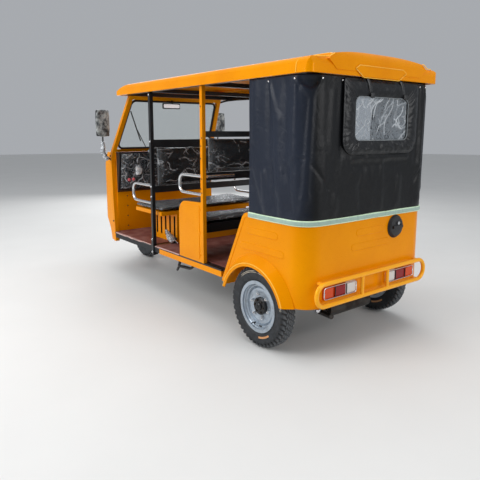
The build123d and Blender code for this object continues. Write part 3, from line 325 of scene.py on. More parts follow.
def coated_cloth(tree, place):
    """PVC-coated cloth: black, and a lighter blue-grey on its sides as painted light, the sides made brighter
    than the rear; a plain weave drawn at 2 mm so that it shows.
    """
    turned = add(tree, "Mapping", {"Vector": place, "Rotation": (0.0, 0.0, 0.785)})
    warp = add(tree, "TexWave", {"Vector": turned, "Scale": 160.0, "Distortion": 0.6})
    weft = add(tree, "TexWave", {"Vector": place, "Scale": 160.0, "Distortion": 0.6}, bands_direction="Z")
    weave = add(tree, "Math", {0: warp, 1: weft}, operation="MAXIMUM")
    fade = add(tree, "TexNoise", {"Vector": place, "Scale": 3.0, "Detail": 5.0, "Roughness": 0.6})
    slack = add(tree, "TexNoise", {"Vector": place, "Scale": 16.0, "Detail": 4.0, "Distortion": 0.8})
    black = add(tree, "Mix", {0: fade, 6: "07080A", 7: "0F1114"}, 2, data_type="RGBA")
    # Painted light: a lighter blue-grey on the sides, which face the light, against the black of the rear
    painted_lit_side = add(tree, "Mix", {0: fade, 6: "161C28", 7: "242B3A"}, 2, data_type="RGBA")
    where = add(tree, "MapRange", {"Value": from_middle(tree, place), "From Min": 0.52, "From Max": 0.6})
    fine = add(tree, "Bump", {"Height": weave, "Strength": 0.18, "Distance": 0.0006})
    look = {
        "Base Color": add(tree, "Mix", {0: where, 6: black, 7: painted_lit_side}, 2, data_type="RGBA"),
        "Roughness": 0.36,
        "Normal": add(tree, "Bump", {"Height": slack, "Strength": 0.6, "Distance": 0.006, "Normal": fine}),
        "Specular IOR Level": 0.22,
        "Sheen Weight": 0.02,
        "Sheen Roughness": 0.4,
        "Sheen Tint": "7C88A4",
    }
    return add(tree, "BsdfPrincipled", look)


def clear_pane(tree, place):
    """Laminated glass with a little dust: mostly clear, mirror-like at a glance."""
    dust = add(tree, "TexNoise", {"Vector": place, "Scale": 12.0, "Detail": 6.0})
    rough = add(tree, "MapRange", {"Value": dust, **dict(zip(SPREAD, (0.5, 0.9, 0.02, 0.12)))})
    gloss = add(tree, "BsdfPrincipled", {"Base Color": "DDE8E6", "Roughness": rough})
    through = add(tree, "BsdfTransparent", {"Color": "FBFDFC"})
    edge = add(tree, "Fresnel", {"IOR": 1.45})
    much = add(tree, "MapRange", {"Value": edge, "To Min": 0.0, "To Max": 0.45})
    return add(tree, "MixShader", {0: much, 1: through, 2: gloss})


def creased_sheet(tree, place, body, line, scale, sheer, bunch, kept):
    """Thin clear plastic: see-through where flat, white where noises cross their middles and on drawn lines,
    painted highlights for the glints on its creases.

    Bunch whitens its ends, and kept says above which noise the lines are left."""
    bends = {"Detail": 2.5, "Roughness": 0.6, "Distortion": 1.4}
    wander = add(tree, "TexNoise", {"Vector": place, "Scale": scale, **bends})
    second = add(tree, "TexNoise", {"Vector": place, "Scale": scale * 2.3, "Detail": 2.0, "Distortion": 0.8})
    broken = add(tree, "TexNoise", {"Vector": place, "Scale": scale * 0.8, "Detail": 3.0})
    near = from_value(tree, wander, 0.5)
    crease_glint = add(tree, "MapRange", {"Value": near, "From Min": line, "From Max": 0.0})
    near_two = from_value(tree, second, 0.52)
    fades = {"From Min": line * 0.8, "From Max": 0.0, "To Max": 0.7}
    crease_glint_two = add(tree, "MapRange", {"Value": near_two, **fades})
    both = add(tree, "Math", {0: crease_glint, 1: crease_glint_two}, operation="MAXIMUM")
    left = add(tree, "MapRange", {"Value": broken, "From Min": kept, "From Max": kept + 0.12})
    marked = add(tree, "Math", {0: both, 1: left}, operation="MULTIPLY")
    drawn = add(tree, "Attribute", out="Fac", attribute_name="crease_glint")
    # Painted highlight: white on the noise crests and on the drawn glint lines
    white = add(tree, "Math", {0: marked, 1: drawn}, operation="MAXIMUM")
    aside = from_middle(tree, place)
    at_end = add(tree, "MapRange", {"Value": aside, "From Min": 0.44, "From Max": 0.54, "To Max": bunch})
    heaped = add(tree, "Math", {0: at_end, 1: wander}, operation="MULTIPLY")
    soft = add(tree, "Bump", {"Height": wander, "Strength": 0.8, "Distance": 0.03})
    bump = add(tree, "Bump", {"Height": both, "Strength": 0.5, "Distance": 0.003, "Normal": soft})
    gloss = add(tree, "BsdfPrincipled", {"Base Color": body, "Roughness": 0.14, "Normal": bump})
    through = add(tree, "BsdfTransparent", {"Color": "E6E9EC"})
    edge = add(tree, "Fresnel", {"IOR": 1.5, "Normal": bump})
    bare = add(tree, "MapRange", {"Value": edge, "To Min": sheer, "To Max": 0.45})
    more = add(tree, "Math", {0: bare, 1: heaped}, operation="ADD")
    much = add(tree, "Math", {0: more, 1: white}, operation="ADD", use_clamp=True)
    return add(tree, "MixShader", {0: much, 1: through, 2: gloss})


def maroon_rubber(tree, place):
    """Ribbed floor rubber: maroon, dusty, ribs 12 mm apart, worn pale along its curled edges."""
    rib = add(tree, "TexWave", {"Vector": place, "Scale": 13.0}, bands_direction="X")
    dust = add(tree, "TexNoise", {"Vector": place, "Scale": 9.0, "Detail": 7.0, "Roughness": 0.6})
    where = add(tree, "MapRange", {"Value": dust, "From Min": 0.4, "From Max": 0.72})
    maroon = add(tree, "Mix", {0: where, 6: "693630", 7: "8C635C"}, 2, data_type="RGBA")
    out = from_middle(tree, place)
    worn = add(tree, "MapRange", {"Value": out, "From Min": 0.578, "From Max": 0.587, "To Max": 0.85})
    colour = add(tree, "Mix", {0: worn, 6: maroon, 7: "D8B4AC"}, 2, data_type="RGBA")
    bump = add(tree, "Bump", {"Height": rib, "Strength": 0.3, "Distance": 0.0015})
    return add(tree, "BsdfPrincipled", {"Base Color": colour, "Roughness": 0.66, "Normal": bump})


def hem_ribbon(tree, place):
    """Woven edging ribbon: a grey-green middle, 855 mm up, between two bright mint edges."""
    rib = add(tree, "TexWave", {"Vector": place, "Scale": 120.0, "Distortion": 1.5}, bands_direction="Z")
    soil = add(tree, "TexNoise", {"Vector": place, "Scale": 20.0, "Detail": 6.0})
    middle = add(tree, "Mix", {0: soil, 6: "A6C0B2", 7: "8AA397"}, 2, data_type="RGBA")
    far = from_value(tree, add(tree, "SeparateXYZ", {"Vector": place}, "Z"), 0.855)
    edge = add(tree, "MapRange", {"Value": far, "From Min": 0.0105, "From Max": 0.013})
    colour = add(tree, "Mix", {0: edge, 6: middle, 7: "D2ECC8"}, 2, data_type="RGBA")
    bump = add(tree, "Bump", {"Height": rib, "Strength": 0.2, "Distance": 0.0008})
    look = {"Base Color": colour, "Roughness": 0.55, "Normal": bump, "Sheen Weight": 0.2}
    return add(tree, "BsdfPrincipled", look)


def lamp_lens(tree, place):
    """Moulded lens, prisms 7 mm apart behind its face: amber beyond 355 mm, then red, clear within 251 mm."""
    out = from_middle(tree, place)
    amber = add(tree, "Math", {0: out, 1: 0.355}, operation="GREATER_THAN")
    inner = add(tree, "Math", {0: out, 1: 0.251}, operation="LESS_THAN")
    warm = add(tree, "Mix", {0: amber, 6: "8C0308", 7: "D2480A"}, 2, data_type="RGBA")
    colour = add(tree, "Mix", {0: inner, 6: warm, 7: "D8D6D2"}, 2, data_type="RGBA")
    prism = add(tree, "TexVoronoi", {"Vector": place, "Scale": 140.0, "Randomness": 0.0})
    bump = add(tree, "Bump", {"Height": prism, "Strength": 0.5, "Distance": 0.0015})
    look = {"Base Color": colour, "Roughness": 0.1, "Normal": bump, "Specular IOR Level": 0.25}
    return add(tree, "BsdfPrincipled", {**look, "Coat Weight": 0.15, "Coat Roughness": 0.03})


def head_lens(tree, place):
    """Ribbed lamp glass over a bright bowl."""
    rib = add(tree, "TexWave", {"Vector": place, "Scale": 22.0}, bands_direction="Y")
    bump = add(tree, "Bump", {"Height": rib, "Strength": 0.5, "Distance": 0.003})
    look = {"Base Color": "E3E6E8", "Metallic": 0.55, "Roughness": 0.12, "Normal": bump, "Coat Weight": 1.0}
    return add(tree, "BsdfPrincipled", look)


def two_tone_box(tree, place):
    """The middle bench's box: black, with the yellow of the bar that it stands on below 617 mm."""
    height = add(tree, "SeparateXYZ", {"Vector": place}, "Z")
    low = add(tree, "Math", {0: height, 1: 0.617}, operation="LESS_THAN")
    grain = add(tree, "TexNoise", {"Vector": place, "Scale": 60.0, "Detail": 8.0, "Roughness": 0.7})
    black = add(tree, "Mix", {0: grain, 6: "0E0F11", 7: "222326"}, 2, data_type="RGBA")
    yellow = add(tree, "Mix", {0: grain, 6: "E08A00", 7: "EE9A04"}, 2, data_type="RGBA")
    colour = add(tree, "Mix", {0: low, 6: black, 7: yellow}, 2, data_type="RGBA")
    rough = add(tree, "MapRange", {"Value": grain, **dict(zip(SPREAD, (0.3, 0.75, 0.26, 0.5)))})
    bump = add(tree, "Bump", {"Height": grain, "Strength": 0.1, "Distance": 0.0006})
    return add(tree, "BsdfPrincipled", {"Base Color": colour, "Roughness": rough, "Normal": bump})


def slotted_box(tree, place):
    """The driver's box: yellow enamel outside, and black on what faces the engine inside its walls, painted
    shade for the dark seen through its slots.
    """
    low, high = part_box("driver_seat_base")
    x, z = [add(tree, "SeparateXYZ", {"Vector": place}, axis) for axis in "XZ"]
    inside = add(tree, "Math", {0: from_middle(tree, place), 1: 0.3835}, operation="LESS_THAN")
    middle = (low.x + high.x) / 2
    wall = 0.0015
    reach = (high.x - low.x) / 2 - wall
    along = add(tree, "Math", {0: x, 1: middle, 2: reach}, operation="COMPARE")
    below = add(tree, "Math", {0: z, 1: high.z - wall}, operation="LESS_THAN")
    both = add(tree, "Math", {0: inside, 1: along}, operation="MULTIPLY")
    where = add(tree, "Math", {0: both, 1: below}, operation="MULTIPLY")
    # Painted shade: a black surface inside the walls for the dark seen through the slots
    inner_shade = add(tree, "BsdfPrincipled", {"Base Color": "060606", "Roughness": 0.8})
    return add(tree, "MixShader", {0: where, 1: glossy_enamel(tree, place, *BODY_YELLOW), 2: inner_shade})


def about_axle(tree, place, centre_x):
    """The place as seen from an axle, and its distance from it."""
    about = add(tree, "Mapping", {"Vector": place, "Location": (-AXLE_X - centre_x / 1000, 0.0, -TYRE_R)})
    flat = add(tree, "VectorMath", {0: about, 1: (1.0, 0.0, 1.0)}, operation="MULTIPLY")
    return about, add(tree, "VectorMath", {0: flat}, "Value", operation="LENGTH")


def rubber_with_painted_light(tree, place, centre_x):
    """Tyre rubber: chalky black, with dust on its tread, and darker in its grooves as painted shade.

    Pale lines on its raised rings run over its upper sidewall as a painted highlight, and on the rear tyres a
    dash of paint below."""
    about, radius = about_axle(tree, place, centre_x)
    x, z = [add(tree, "SeparateXYZ", {"Vector": about}, axis) for axis in "XZ"]
    angle = add(tree, "Math", {0: z, 1: x}, operation="ARCTAN2")
    bloom = add(tree, "TexNoise", {"Vector": place, "Scale": 30.0, "Detail": 7.0, "Roughness": 0.65})
    grain = add(tree, "TexNoise", {"Vector": place, "Scale": 700.0, "Detail": 2.0})
    where = add(tree, "MapRange", {"Value": bloom, "From Min": 0.42, "From Max": 0.8})
    base = add(tree, "Mix", {0: where, 6: "15181C", 7: "33373C"}, 2, data_type="RGBA")
    dust = add(tree, "MapRange", {"Value": radius, "From Min": 0.246, "From Max": 0.266, "To Max": 0.85})
    dusted = add(tree, "Mix", {0: dust, 6: base, 7: "626568"}, 2, data_type="RGBA")
    # Painted shade: the grooves get a darker colour than the rubber
    groove = add(tree, "Attribute", out="Fac", attribute_name="groove")
    grooved = add(tree, "Mix", {0: groove, 6: dusted, 7: "0B0C0E"}, 2, data_type="RGBA")
    # Two pale lines, each 4.2 mm from a circle of 231 mm, on the raised rings: a painted highlight, broken up
    # by a noise and kept to the upper side where the light falls
    pair = add(tree, "Math", {0: from_value(tree, radius, 0.231), 1: 0.0042, 2: 0.0014}, operation="COMPARE")
    breakup = add(tree, "TexNoise", {"Vector": place, "Scale": 11.0, "Detail": 8.0, "Roughness": 0.7})
    left = add(tree, "MapRange", {"Value": breakup, "From Min": 0.46, "From Max": 0.52})
    upper = add(tree, "Math", {0: angle, 1: 1.9, 2: 1.1}, operation="COMPARE")
    high_left = add(tree, "Math", {0: left, 1: upper}, operation="MULTIPLY")
    line = add(tree, "Math", {0: pair, 1: high_left}, operation="MULTIPLY")
    ring_highlight = add(tree, "Mix", {0: line, 6: grooved, 7: "CFC4B0"}, 2, data_type="RGBA")
    # The dash: a short arc of a circle of 199 mm
    ring = add(tree, "Math", {0: radius, 1: 0.199, 2: 0.006}, operation="COMPARE")
    arc = add(tree, "Math", {0: angle, 1: -1.95, 2: 0.0 if centre_x else 0.27}, operation="COMPARE")
    dash = add(tree, "Math", {0: ring, 1: arc}, operation="MULTIPLY")
    worn = add(tree, "MapRange", {"Value": breakup, "From Min": 0.36, "From Max": 0.44})
    dash_left = add(tree, "Math", {0: dash, 1: worn}, operation="MULTIPLY")
    colour = add(tree, "Mix", {0: dash_left, 6: ring_highlight, 7: "C98F5C"}, 2, data_type="RGBA")
    bump = add(tree, "Bump", {"Height": grain, "Strength": 0.15, "Distance": 0.0004})
    return add(tree, "BsdfPrincipled", {"Base Color": colour, "Roughness": 0.6, "Normal": bump})


def wheel_enamel(tree, place, centre_x):
    """Aluminium-filled wheel paint: soft sheen, dirt in clouds, and the hub inside 57 mm brushed black."""
    radius = about_axle(tree, place, centre_x)[1]
    hub = add(tree, "Math", {0: radius, 1: 0.0575}, operation="LESS_THAN")
    grain = add(tree, "TexNoise", {"Vector": place, "Scale": 700.0, "Detail": 2.0})
    dirt = add(tree, "TexNoise", {"Vector": place, "Scale": 22.0, "Detail": 6.0, "Roughness": 0.6})
    where = add(tree, "MapRange", {"Value": dirt, "From Min": 0.5, "From Max": 0.78})
    silver = add(tree, "Mix", {0: where, 6: "A9B4BF", 7: "7F878E"}, 2, data_type="RGBA")
    colour = add(tree, "Mix", {0: hub, 6: silver, 7: "17181A"}, 2, data_type="RGBA")
    metal = add(tree, "MapRange", {"Value": hub, "To Min": 0.6, "To Max": 0.1})
    rough = add(tree, "MapRange", {"Value": grain, "To Min": 0.3, "To Max": 0.42})
    bump = add(tree, "Bump", {"Height": grain, "Strength": 0.06, "Distance": 0.0003})
    look = {"Base Color": colour, "Metallic": metal, "Roughness": rough, "Normal": bump}
    return add(tree, "BsdfPrincipled", look)


MADE = {name: finish_named(name, two_tone, **look) for name, look in TWO_TONES.items()}

# The finish of each of the record's slots
FINISHES = {
    "yellow_paint": finish_named("glossy_yellow_enamel", glossy_enamel, *BODY_YELLOW),
    "black_paint": MADE["satin_black_enamel"],
    "chassis_black": finish_named("dull_chassis_black", chassis_black),
    "cast_metal": MADE["cast_alloy"],
    "chrome": MADE["chrome_plate"],
    "black_plastic": MADE["moulded_black_plastic"],
    "mirror_shell": MADE["mirror_shell_plastic"],
    "clear_glass": finish_named("clear_glass", clear_pane),
    # The window's clear sheet: pale with dust, with long bright crease lines that are painted highlights
    "clear_film": finish_named("clear_film", creased_sheet, "CDD2D6", 0.016, 6.0, 0.035, 0.0, 0.52),
    "curtain_cloth": finish_named("coated_curtain_cloth", coated_cloth),
    "hem_tape": finish_named("hem_ribbon", hem_ribbon),
    "seat_vinyl": finish_named("black_seat_vinyl", black_vinyl),
    "lamp_red": finish_named("tail_lamp_lens", lamp_lens),
    "lamp_clear": finish_named("head_lamp_glass", head_lens),
    "floor_steel": MADE["painted_floor_steel"],
    "exhaust_steel": MADE["heat_dulled_steel"],
}

# The same enamel on a pressed edge: a paler yellow as a painted highlight where the rounded edge would catch
# the light, under a heavier coat
HIGHLIGHT_ENAMEL = finish_named("painted_highlight_enamel", glossy_enamel, "FFC850", "FFB832", 0.5)
# Packing film stretched over vinyl: nearly invisible flat, with white broken crease lines 20 to 80 mm apart,
# painted highlights
SEAT_FILM = finish_named("seat_wrapping_film", creased_sheet, "DDE1E5", 0.008, 12.0, 0.012, 0.3, 0.56)
MAROON = finish_named("maroon_floor_rubber", maroon_rubber)
BORDER_VINYL = finish_named("window_border_vinyl", border_vinyl)
# Woven strap, as black and soft as the seats' vinyl
WEBBING = finish_named("strap_webbing", black_vinyl)

# Wheels: node, short name, millimetres ahead of the rear axle and left of the middle, and the side they face
WHEELS = (
    ("rear_left", "left", 0.0, 1000 * WHEEL_Y, 1),
    ("rear_right", "right", 0.0, -1000 * WHEEL_Y, -1),
    ("front", "front", 1000 * (FRONT_X - AXLE_X), 0.0, 1),
)

# Nodes with a finish of their own; the bumper's bent tubes are glossier than the panels behind, and their
# paler yellow is a painted highlight
OWN = {
    "mid_seat_base": finish_named("black_box_on_yellow_bar", two_tone_box),
    "driver_seat_base": finish_named("slotted_box_enamel", slotted_box),
    "grab_handles": MADE["hazy_plate"],
    "rear_bumper": finish_named("bumper_enamel", glossy_enamel, "FFB426", "FAA814", 0.4),
}
for wheel, _, x, _, _ in WHEELS:
    OWN[f"{wheel}_wheel"] = finish_named(f"{wheel}_wheel_enamel", wheel_enamel, x)
    OWN[f"{wheel}_tyre"] = finish_named(f"{wheel}_tread_tyre_rubber", rubber_with_painted_light, x)

for part in frame["record"]["subparts"]:
    slots = nodes[part["node"]].data.materials
    slots.clear()
    slots.append(OWN.get(part["node"]) or FINISHES[part["material_slot"]])


# Studio


def lay_floor():
    """A wide pale floor: one flat disc at the ground, 30 m to its edge."""
    turn = np.linspace(0, 2 * np.pi, 64, endpoint=False)
    x, y = [np.outer((0.0, 30.0), part) for part in (np.cos(turn), np.sin(turn))]
    grid = np.stack([x, y, 0 * x], axis=-1)
    floor = surface("studio_floor", grid, wrap=True)
    floor.data.materials.append(MADE["pale_floor"])


def light(name, place, aim, size, watts):
    """A soft white square lamp at a place, turned to a point."""
    data = bpy.data.lights.new(name, "AREA")
    data.size = size
    data.energy = watts
    lamp = bpy.data.objects.new(name, data)
    lamp.location = place
    lamp.rotation_euler = (Vector(aim) - Vector(place)).to_track_quat("-Z", "Y").to_euler()
    bpy.context.collection.objects.link(lamp)


def light_studio():
    """Key from the left and above, weak fill from behind, bright even surroundings."""
    bpy.context.scene.view_settings.view_transform = "Standard"
    light("key", (0.6, 6.0, 4.0), (0, 0, 0.8), 4.0, 268)
    light("sky", (-0.5, 0.5, 6.5), (0, 0, 0.8), 6.0, 205)
    light("rear_fill", (-6.0, -1.5, 2.6), (-1.0, 0, 0.9), 3.0, 90)
    light("front_fill", (5.5, -3.0, 3.0), (0.5, 0, 0.9), 4.0, 120)
    world = bpy.data.worlds.new("studio")
    world.use_nodes = True
    sky = world.node_tree.nodes["Background"].inputs
    sky["Color"].default_value = paint("E4E8EE")
    sky["Strength"].default_value = 0.5
    bpy.context.scene.world = world


# Shapes


def surface(name, grid, wrap=False, ends=False, across=False, keep=None, cloth=None):
    """A mesh over a grid of points (rows, columns, 3), one quad to a cell.

    Wrap joins the last column to the first, across the last row to the first, and ends closes the first and
    last rows with a fan to their middles. Keep says which cells stay, and cloth gives each point its place on
    the flat cloth, in metres."""
    rows, columns = grid.shape[:2]
    points = grid.reshape(-1, 3)
    row = np.arange(rows if across else rows - 1)
    column = np.arange(columns if wrap else columns - 1)
    r, c = [part.ravel() for part in np.meshgrid(row, column, indexing="ij")]
    r1 = (r + 1) % rows
    c1 = (c + 1) % columns
    quads = np.stack([r * columns + c, r * columns + c1, r1 * columns + c1, r1 * columns + c], axis=1)
    if keep is not None:
        quads = quads[keep.ravel()]
    faces = quads.tolist()
    if ends:
        points = np.vstack([points, grid[0].mean(0), grid[-1].mean(0)])
        first = rows * columns
        c = np.arange(columns)
        c1 = (c + 1) % columns
        faces += np.stack([c1, c, np.full(columns, first)], axis=1).tolist()
        last = (rows - 1) * columns
        faces += np.stack([last + c, last + c1, np.full(columns, first + 1)], axis=1).tolist()
    mesh = bpy.data.meshes.new(name)
    mesh.from_pydata(points.tolist(), [], faces)
    smooth(mesh)
    if cloth is not None:
        corner = np.empty(len(mesh.loops), dtype=np.int32)
        mesh.loops.foreach_get("vertex_index", corner)
        layer = mesh.uv_layers.new(name="cloth")
        layer.uv.foreach_set("vector", cloth.reshape(-1, 2)[corner].astype(np.float32).ravel())
    return shown(name, mesh)


def smooth(mesh):
    """Shades a mesh smooth."""
    mesh.polygons.foreach_set("use_smooth", np.ones(len(mesh.polygons), dtype=bool))


def coords_of(mesh):
    """A mesh's points as an array."""
    flat = np.empty(len(mesh.vertices) * 3, dtype=np.float32)
    mesh.vertices.foreach_get("co", flat)
    return flat.reshape(-1, 3).astype(float)


def move_to(mesh, points):
    """Sets a mesh's points."""
    mesh.vertices.foreach_set("co", points.astype(np.float32).ravel())


def walled(sheet, thick):
    """Gives a sheet its thickness in metres, half of it to each side."""
    wall = sheet.modifiers.new("wall", "SOLIDIFY")
    wall.thickness = thick
    wall.offset = 0


def shown(name, mesh):
    """An object that shows a mesh."""
    made = bpy.data.objects.new(name, mesh)
    bpy.context.collection.objects.link(made)
    return made


def dress(piece, slot, finish=None, body="vehicle_body"):
    """Gives a piece its finish, the record's slot it belongs to and the body it rides on."""
    piece.data.materials.clear()
    piece.data.materials.append(finish or FINISHES[slot])
    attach(piece, body)
    return piece


def spot(x, y, z):
    """Points in the frame, in metres, from millimetres ahead of the axle, left of the middle and up."""
    return np.stack(np.broadcast_arrays(x, y, z), axis=-1) / 1000 + np.array([AXLE_X, 0, 0])


def eased(points, count, passes):
    """A line of points made dense by equal steps and softened by averaging neighbours."""
    points = np.array(points, dtype=float)
    run = np.concatenate([[0], np.cumsum(np.linalg.norm(np.diff(points, axis=0), axis=1))])
    even = np.linspace(0, run[-1], count)
    line = np.stack([np.interp(even, run, axis) for axis in points.T], axis=1)
    for _ in range(passes):
        line[1:-1] = (line[:-2] + 2 * line[1:-1] + line[2:]) / 4
    return line


def squared_round(half, power, count):
    """Points round a superellipse, right and up: power 1 gives an ellipse and smaller powers squarer ones."""
    turn = np.linspace(0, 2 * np.pi, count, endpoint=False)
    parts = (np.cos(turn), np.sin(turn))
    return [size * np.sign(part) * np.abs(part) ** power for size, part in zip(half, parts)]


def lattice_noise(u, v, seed):
    """Smooth noise from -1 to 1: random values on a lattice of whole numbers, blended by an eased weight."""
    lattice = np.random.default_rng(seed).uniform(-1, 1, (64, 64))
    i = np.floor(u).astype(int)
    j = np.floor(v).astype(int)
    f = (u - i) ** 2 * (3 - 2 * (u - i))
    g = (v - j) ** 2 * (3 - 2 * (v - j))
    low = lattice[i % 64, j % 64] * (1 - f) + lattice[(i + 1) % 64, j % 64] * f
    high = lattice[i % 64, (j + 1) % 64] * (1 - f) + lattice[(i + 1) % 64, (j + 1) % 64] * f
    return low * (1 - g) + high * g


def creases(u, v, seed):
    """Crumpled film's height from 0 to 1: sharp crests where each of three noises crosses zero."""
    first = 1 - np.abs(lattice_noise(u + 0.35 * v, v - 0.2 * u, seed))
    second = 1 - np.abs(lattice_noise(2.1 * u - 0.9 * v, 1.9 * v + 0.7 * u, seed + 1))
    third = 1 - np.abs(lattice_noise(4.3 * u + 1.7 * v, 4.1 * v - 1.3 * u, seed + 2))
    return 0.55 * first ** 3 + 0.3 * second ** 3 + 0.15 * third ** 2


def glint_lines(u, v, count, reach, seed, angles=(0.0, math.pi)):
    """How white each point is as painted highlight: near any of many short bent glint lines, thrown over the
    points by chance.
    """
    chance = np.random.default_rng(seed)
    white = np.zeros_like(u)
    for _ in range(count):
        u0 = chance.uniform(u.min(), u.max())
        v0 = chance.uniform(v.min(), v.max())
        turn = chance.uniform(*angles)
        long = reach * chance.uniform(0.3, 1.0)
        along = (u - u0) * math.cos(turn) + (v - v0) * math.sin(turn)
        aside = (v - v0) * math.cos(turn) - (u - u0) * math.sin(turn)
        aside = aside - 0.07 * long * np.sin(along / long * chance.uniform(3, 9))
        past = np.maximum(np.abs(along) - long / 2, 0)
        white = np.maximum(white, np.exp(-((aside / 3.6) ** 2) - (past / 6) ** 2) * chance.uniform(0.4, 1.0))
    return white


def mark(piece, name, value):
    """Keeps one number for each point of a mesh under a name."""
    layer = piece.data.attributes.new(name, "FLOAT", "POINT")
    layer.data.foreach_set("value", np.ascontiguousarray(value, dtype=np.float32).ravel())


def ridge(s, z, line):
    """Height of a fold along a line: a bell across it that widens from its start to its end."""
    s0, z0, s1, z1, wide0, wide1, height = line
    ds = s1 - s0
    dz = z1 - z0
    t = np.clip(((s - s0) * ds + (z - z0) * dz) / (ds * ds + dz * dz), 0, 1)
    away = np.hypot(s - s0 - t * ds, z - z0 - t * dz)
    return height * np.exp(-((away / (wide0 + (wide1 - wide0) * t)) ** 2))


def turned_shape(profile, sides):
    """Points and faces of a (radius, height) line turned about its height, flat at both ends."""
    line = np.array(profile, dtype=float)
    turn = np.linspace(0, 2 * np.pi, sides, endpoint=False)
    ring = np.stack([np.cos(turn), np.sin(turn), np.zeros(sides)], axis=1)
    points = line[:, None, :1] * ring + line[:, None, 1:] * np.array([0, 0, 1.0])
    r, c = [part.ravel() for part in np.meshgrid(np.arange(len(line) - 1), np.arange(sides), indexing="ij")]
    c1 = (c + 1) % sides
    row = r * sides
    faces = np.stack([row + c, row + c1, row + sides + c1, row + sides + c], axis=1).tolist()
    faces.append(list(range(sides))[::-1])
    faces.append([(len(line) - 1) * sides + i for i in range(sides)])
    return points.reshape(-1, 3), faces


def stamp(name, shape, spots, outs, sharp=35):
    """One mesh of many copies of a small shape: each stands on its spot, its height along its direction."""
    points, faces = shape
    spots = np.atleast_2d(spots)
    w = np.atleast_2d(outs) / np.linalg.norm(np.atleast_2d(outs), axis=1, keepdims=True)
    w = np.broadcast_to(w, spots.shape)
    across = np.where(np.abs(w[:, 2:]) > 0.9, np.array([1.0, 0, 0]), np.array([0, 0, 1.0]))
    u = np.cross(across, w)
    u /= np.linalg.norm(u, axis=1, keepdims=True)
    v = np.cross(w, u)
    local = points / 1000
    placed = spots[:, None] + sum(local[:, k:k + 1] * axis[:, None] for k, axis in enumerate((u, v, w)))
    several = [[i + k * len(points) for i in face] for k in range(len(spots)) for face in faces]
    mesh = bpy.data.meshes.new(name)
    mesh.from_pydata(placed.reshape(-1, 3).tolist(), [], several)
    smooth(mesh)
    mesh.set_sharp_from_angle(angle=math.radians(sharp))
    return shown(name, mesh)


def fasten(name, profile, sides, spots, out, slot, finish=None, body="vehicle_body", sharp=35):
    """Turned pieces of one kind, such as bolts: each stands on its spot, and all are dressed together."""
    return dress(stamp(name, turned_shape(profile, sides), spots, out, sharp), slot, finish, body)


def tube(name, path, radius, sides=12, squash=1.0, closed=False):
    """A round bar along a path in the frame: circles square to it, their radius in millimetres."""
    path = np.asarray(path, dtype=float)
    along = np.roll(path, -1, 0) - np.roll(path, 1, 0) if closed else np.gradient(path, axis=0)
    along /= np.linalg.norm(along, axis=1, keepdims=True)
    aside = np.cross(along, np.array([0.113, 0.229, 0.967]))
    aside /= np.linalg.norm(aside, axis=1, keepdims=True)
    third = np.cross(along, aside)
    turn = np.linspace(0, 2 * np.pi, sides, endpoint=False)
    radius = np.broadcast_to(np.asarray(radius, dtype=float), len(path))[:, None, None] / 1000
    ring = aside[:, None] * np.cos(turn)[:, None] + squash * third[:, None] * np.sin(turn)[:, None]
    grid = path[:, None] + radius * ring
    return surface(name, grid, wrap=True, ends=not closed, across=closed)


def plump(name, middle, right, up, half, rings, power=0.5, rough=0.0, scale=30.0, seed=0):
    """A rounded slab: a superellipse in the right and up directions, carried through (offset, size) rings.

    Rough raises creases out from the middle."""
    right = np.array(right, dtype=float)
    up = np.array(up, dtype=float)
    out = np.cross(right, up)
    rings = eased(rings, 2 * len(rings) + 6, 1)
    wide, tall = [rings[:, 1:] * part for part in squared_round(half, power, 56)]
    lump = rough * creases((wide + 400) / scale, (tall + rings[:, :1] * 2 + 400) / scale, seed)
    grow = 1 + lump / max(half) * 0.6
    depth = rings[:, :1] + lump * np.sign(rings[:, :1])
    grid = (wide * grow)[..., None] * right + (tall * grow)[..., None] * up + depth[..., None] * out
    grid = grid + np.array(middle, dtype=float)
    return surface(name, spot(grid[..., 0], grid[..., 1], grid[..., 2]), wrap=True, ends=True)


def bar(name, points, radius, count=40, passes=3, rough=0.0, seed=0, squash=1.0, sides=12):
    """A bar through a few points in millimetres, its corners eased, crumpled where rough says so."""
    line = spot(*eased(points, count, passes).T)
    radius = np.atleast_1d(radius)
    size = np.interp(np.linspace(0, 1, count), np.linspace(0, 1, len(radius)), radius)
    piece = tube(name, line, size, sides, squash)
    if rough:
        place = coords_of(piece.data)
        rows = np.minimum(np.arange(len(place)) // sides, count - 1)
        away = place - line[rows]
        far = np.maximum(np.linalg.norm(away, axis=1, keepdims=True), 1e-6)
        turn = np.arctan2(away[:, 2], away[:, 1] + 1e-9)
        lump = creases(rows * 0.55, (turn + 4) * 1.7, seed) - 0.35
        move_to(piece.data, place + away / far * (rough * lump / 1000)[:, None])
    return piece


# Curtain: its plan outline, then what hangs on it, in millimetres

CURTAIN_FRONT = 112.0
CURTAIN_REAR = -405.3
CURTAIN_HALF = 607.3
CURTAIN_R = 140.3
CURTAIN_T = 10.0
CURTAIN_LOW = 862.0
CURTAIN_TOP = 1701.0
CLOTH_THICK = 0.0018
FILM_THICK = 0.0006
SIDE_RUN = CURTAIN_FRONT - CURTAIN_REAR - CURTAIN_R
CORNER_RUN = np.pi / 2 * CURTAIN_R
REAR_RUN = 2 * (CURTAIN_HALF - CURTAIN_R)
WHOLE_RUN = 2 * SIDE_RUN + 2 * CORNER_RUN + REAR_RUN


def along_rear(y):
    """Distance along the curtain's outline of a point on its rear."""
    return SIDE_RUN + CORNER_RUN + REAR_RUN / 2 - y


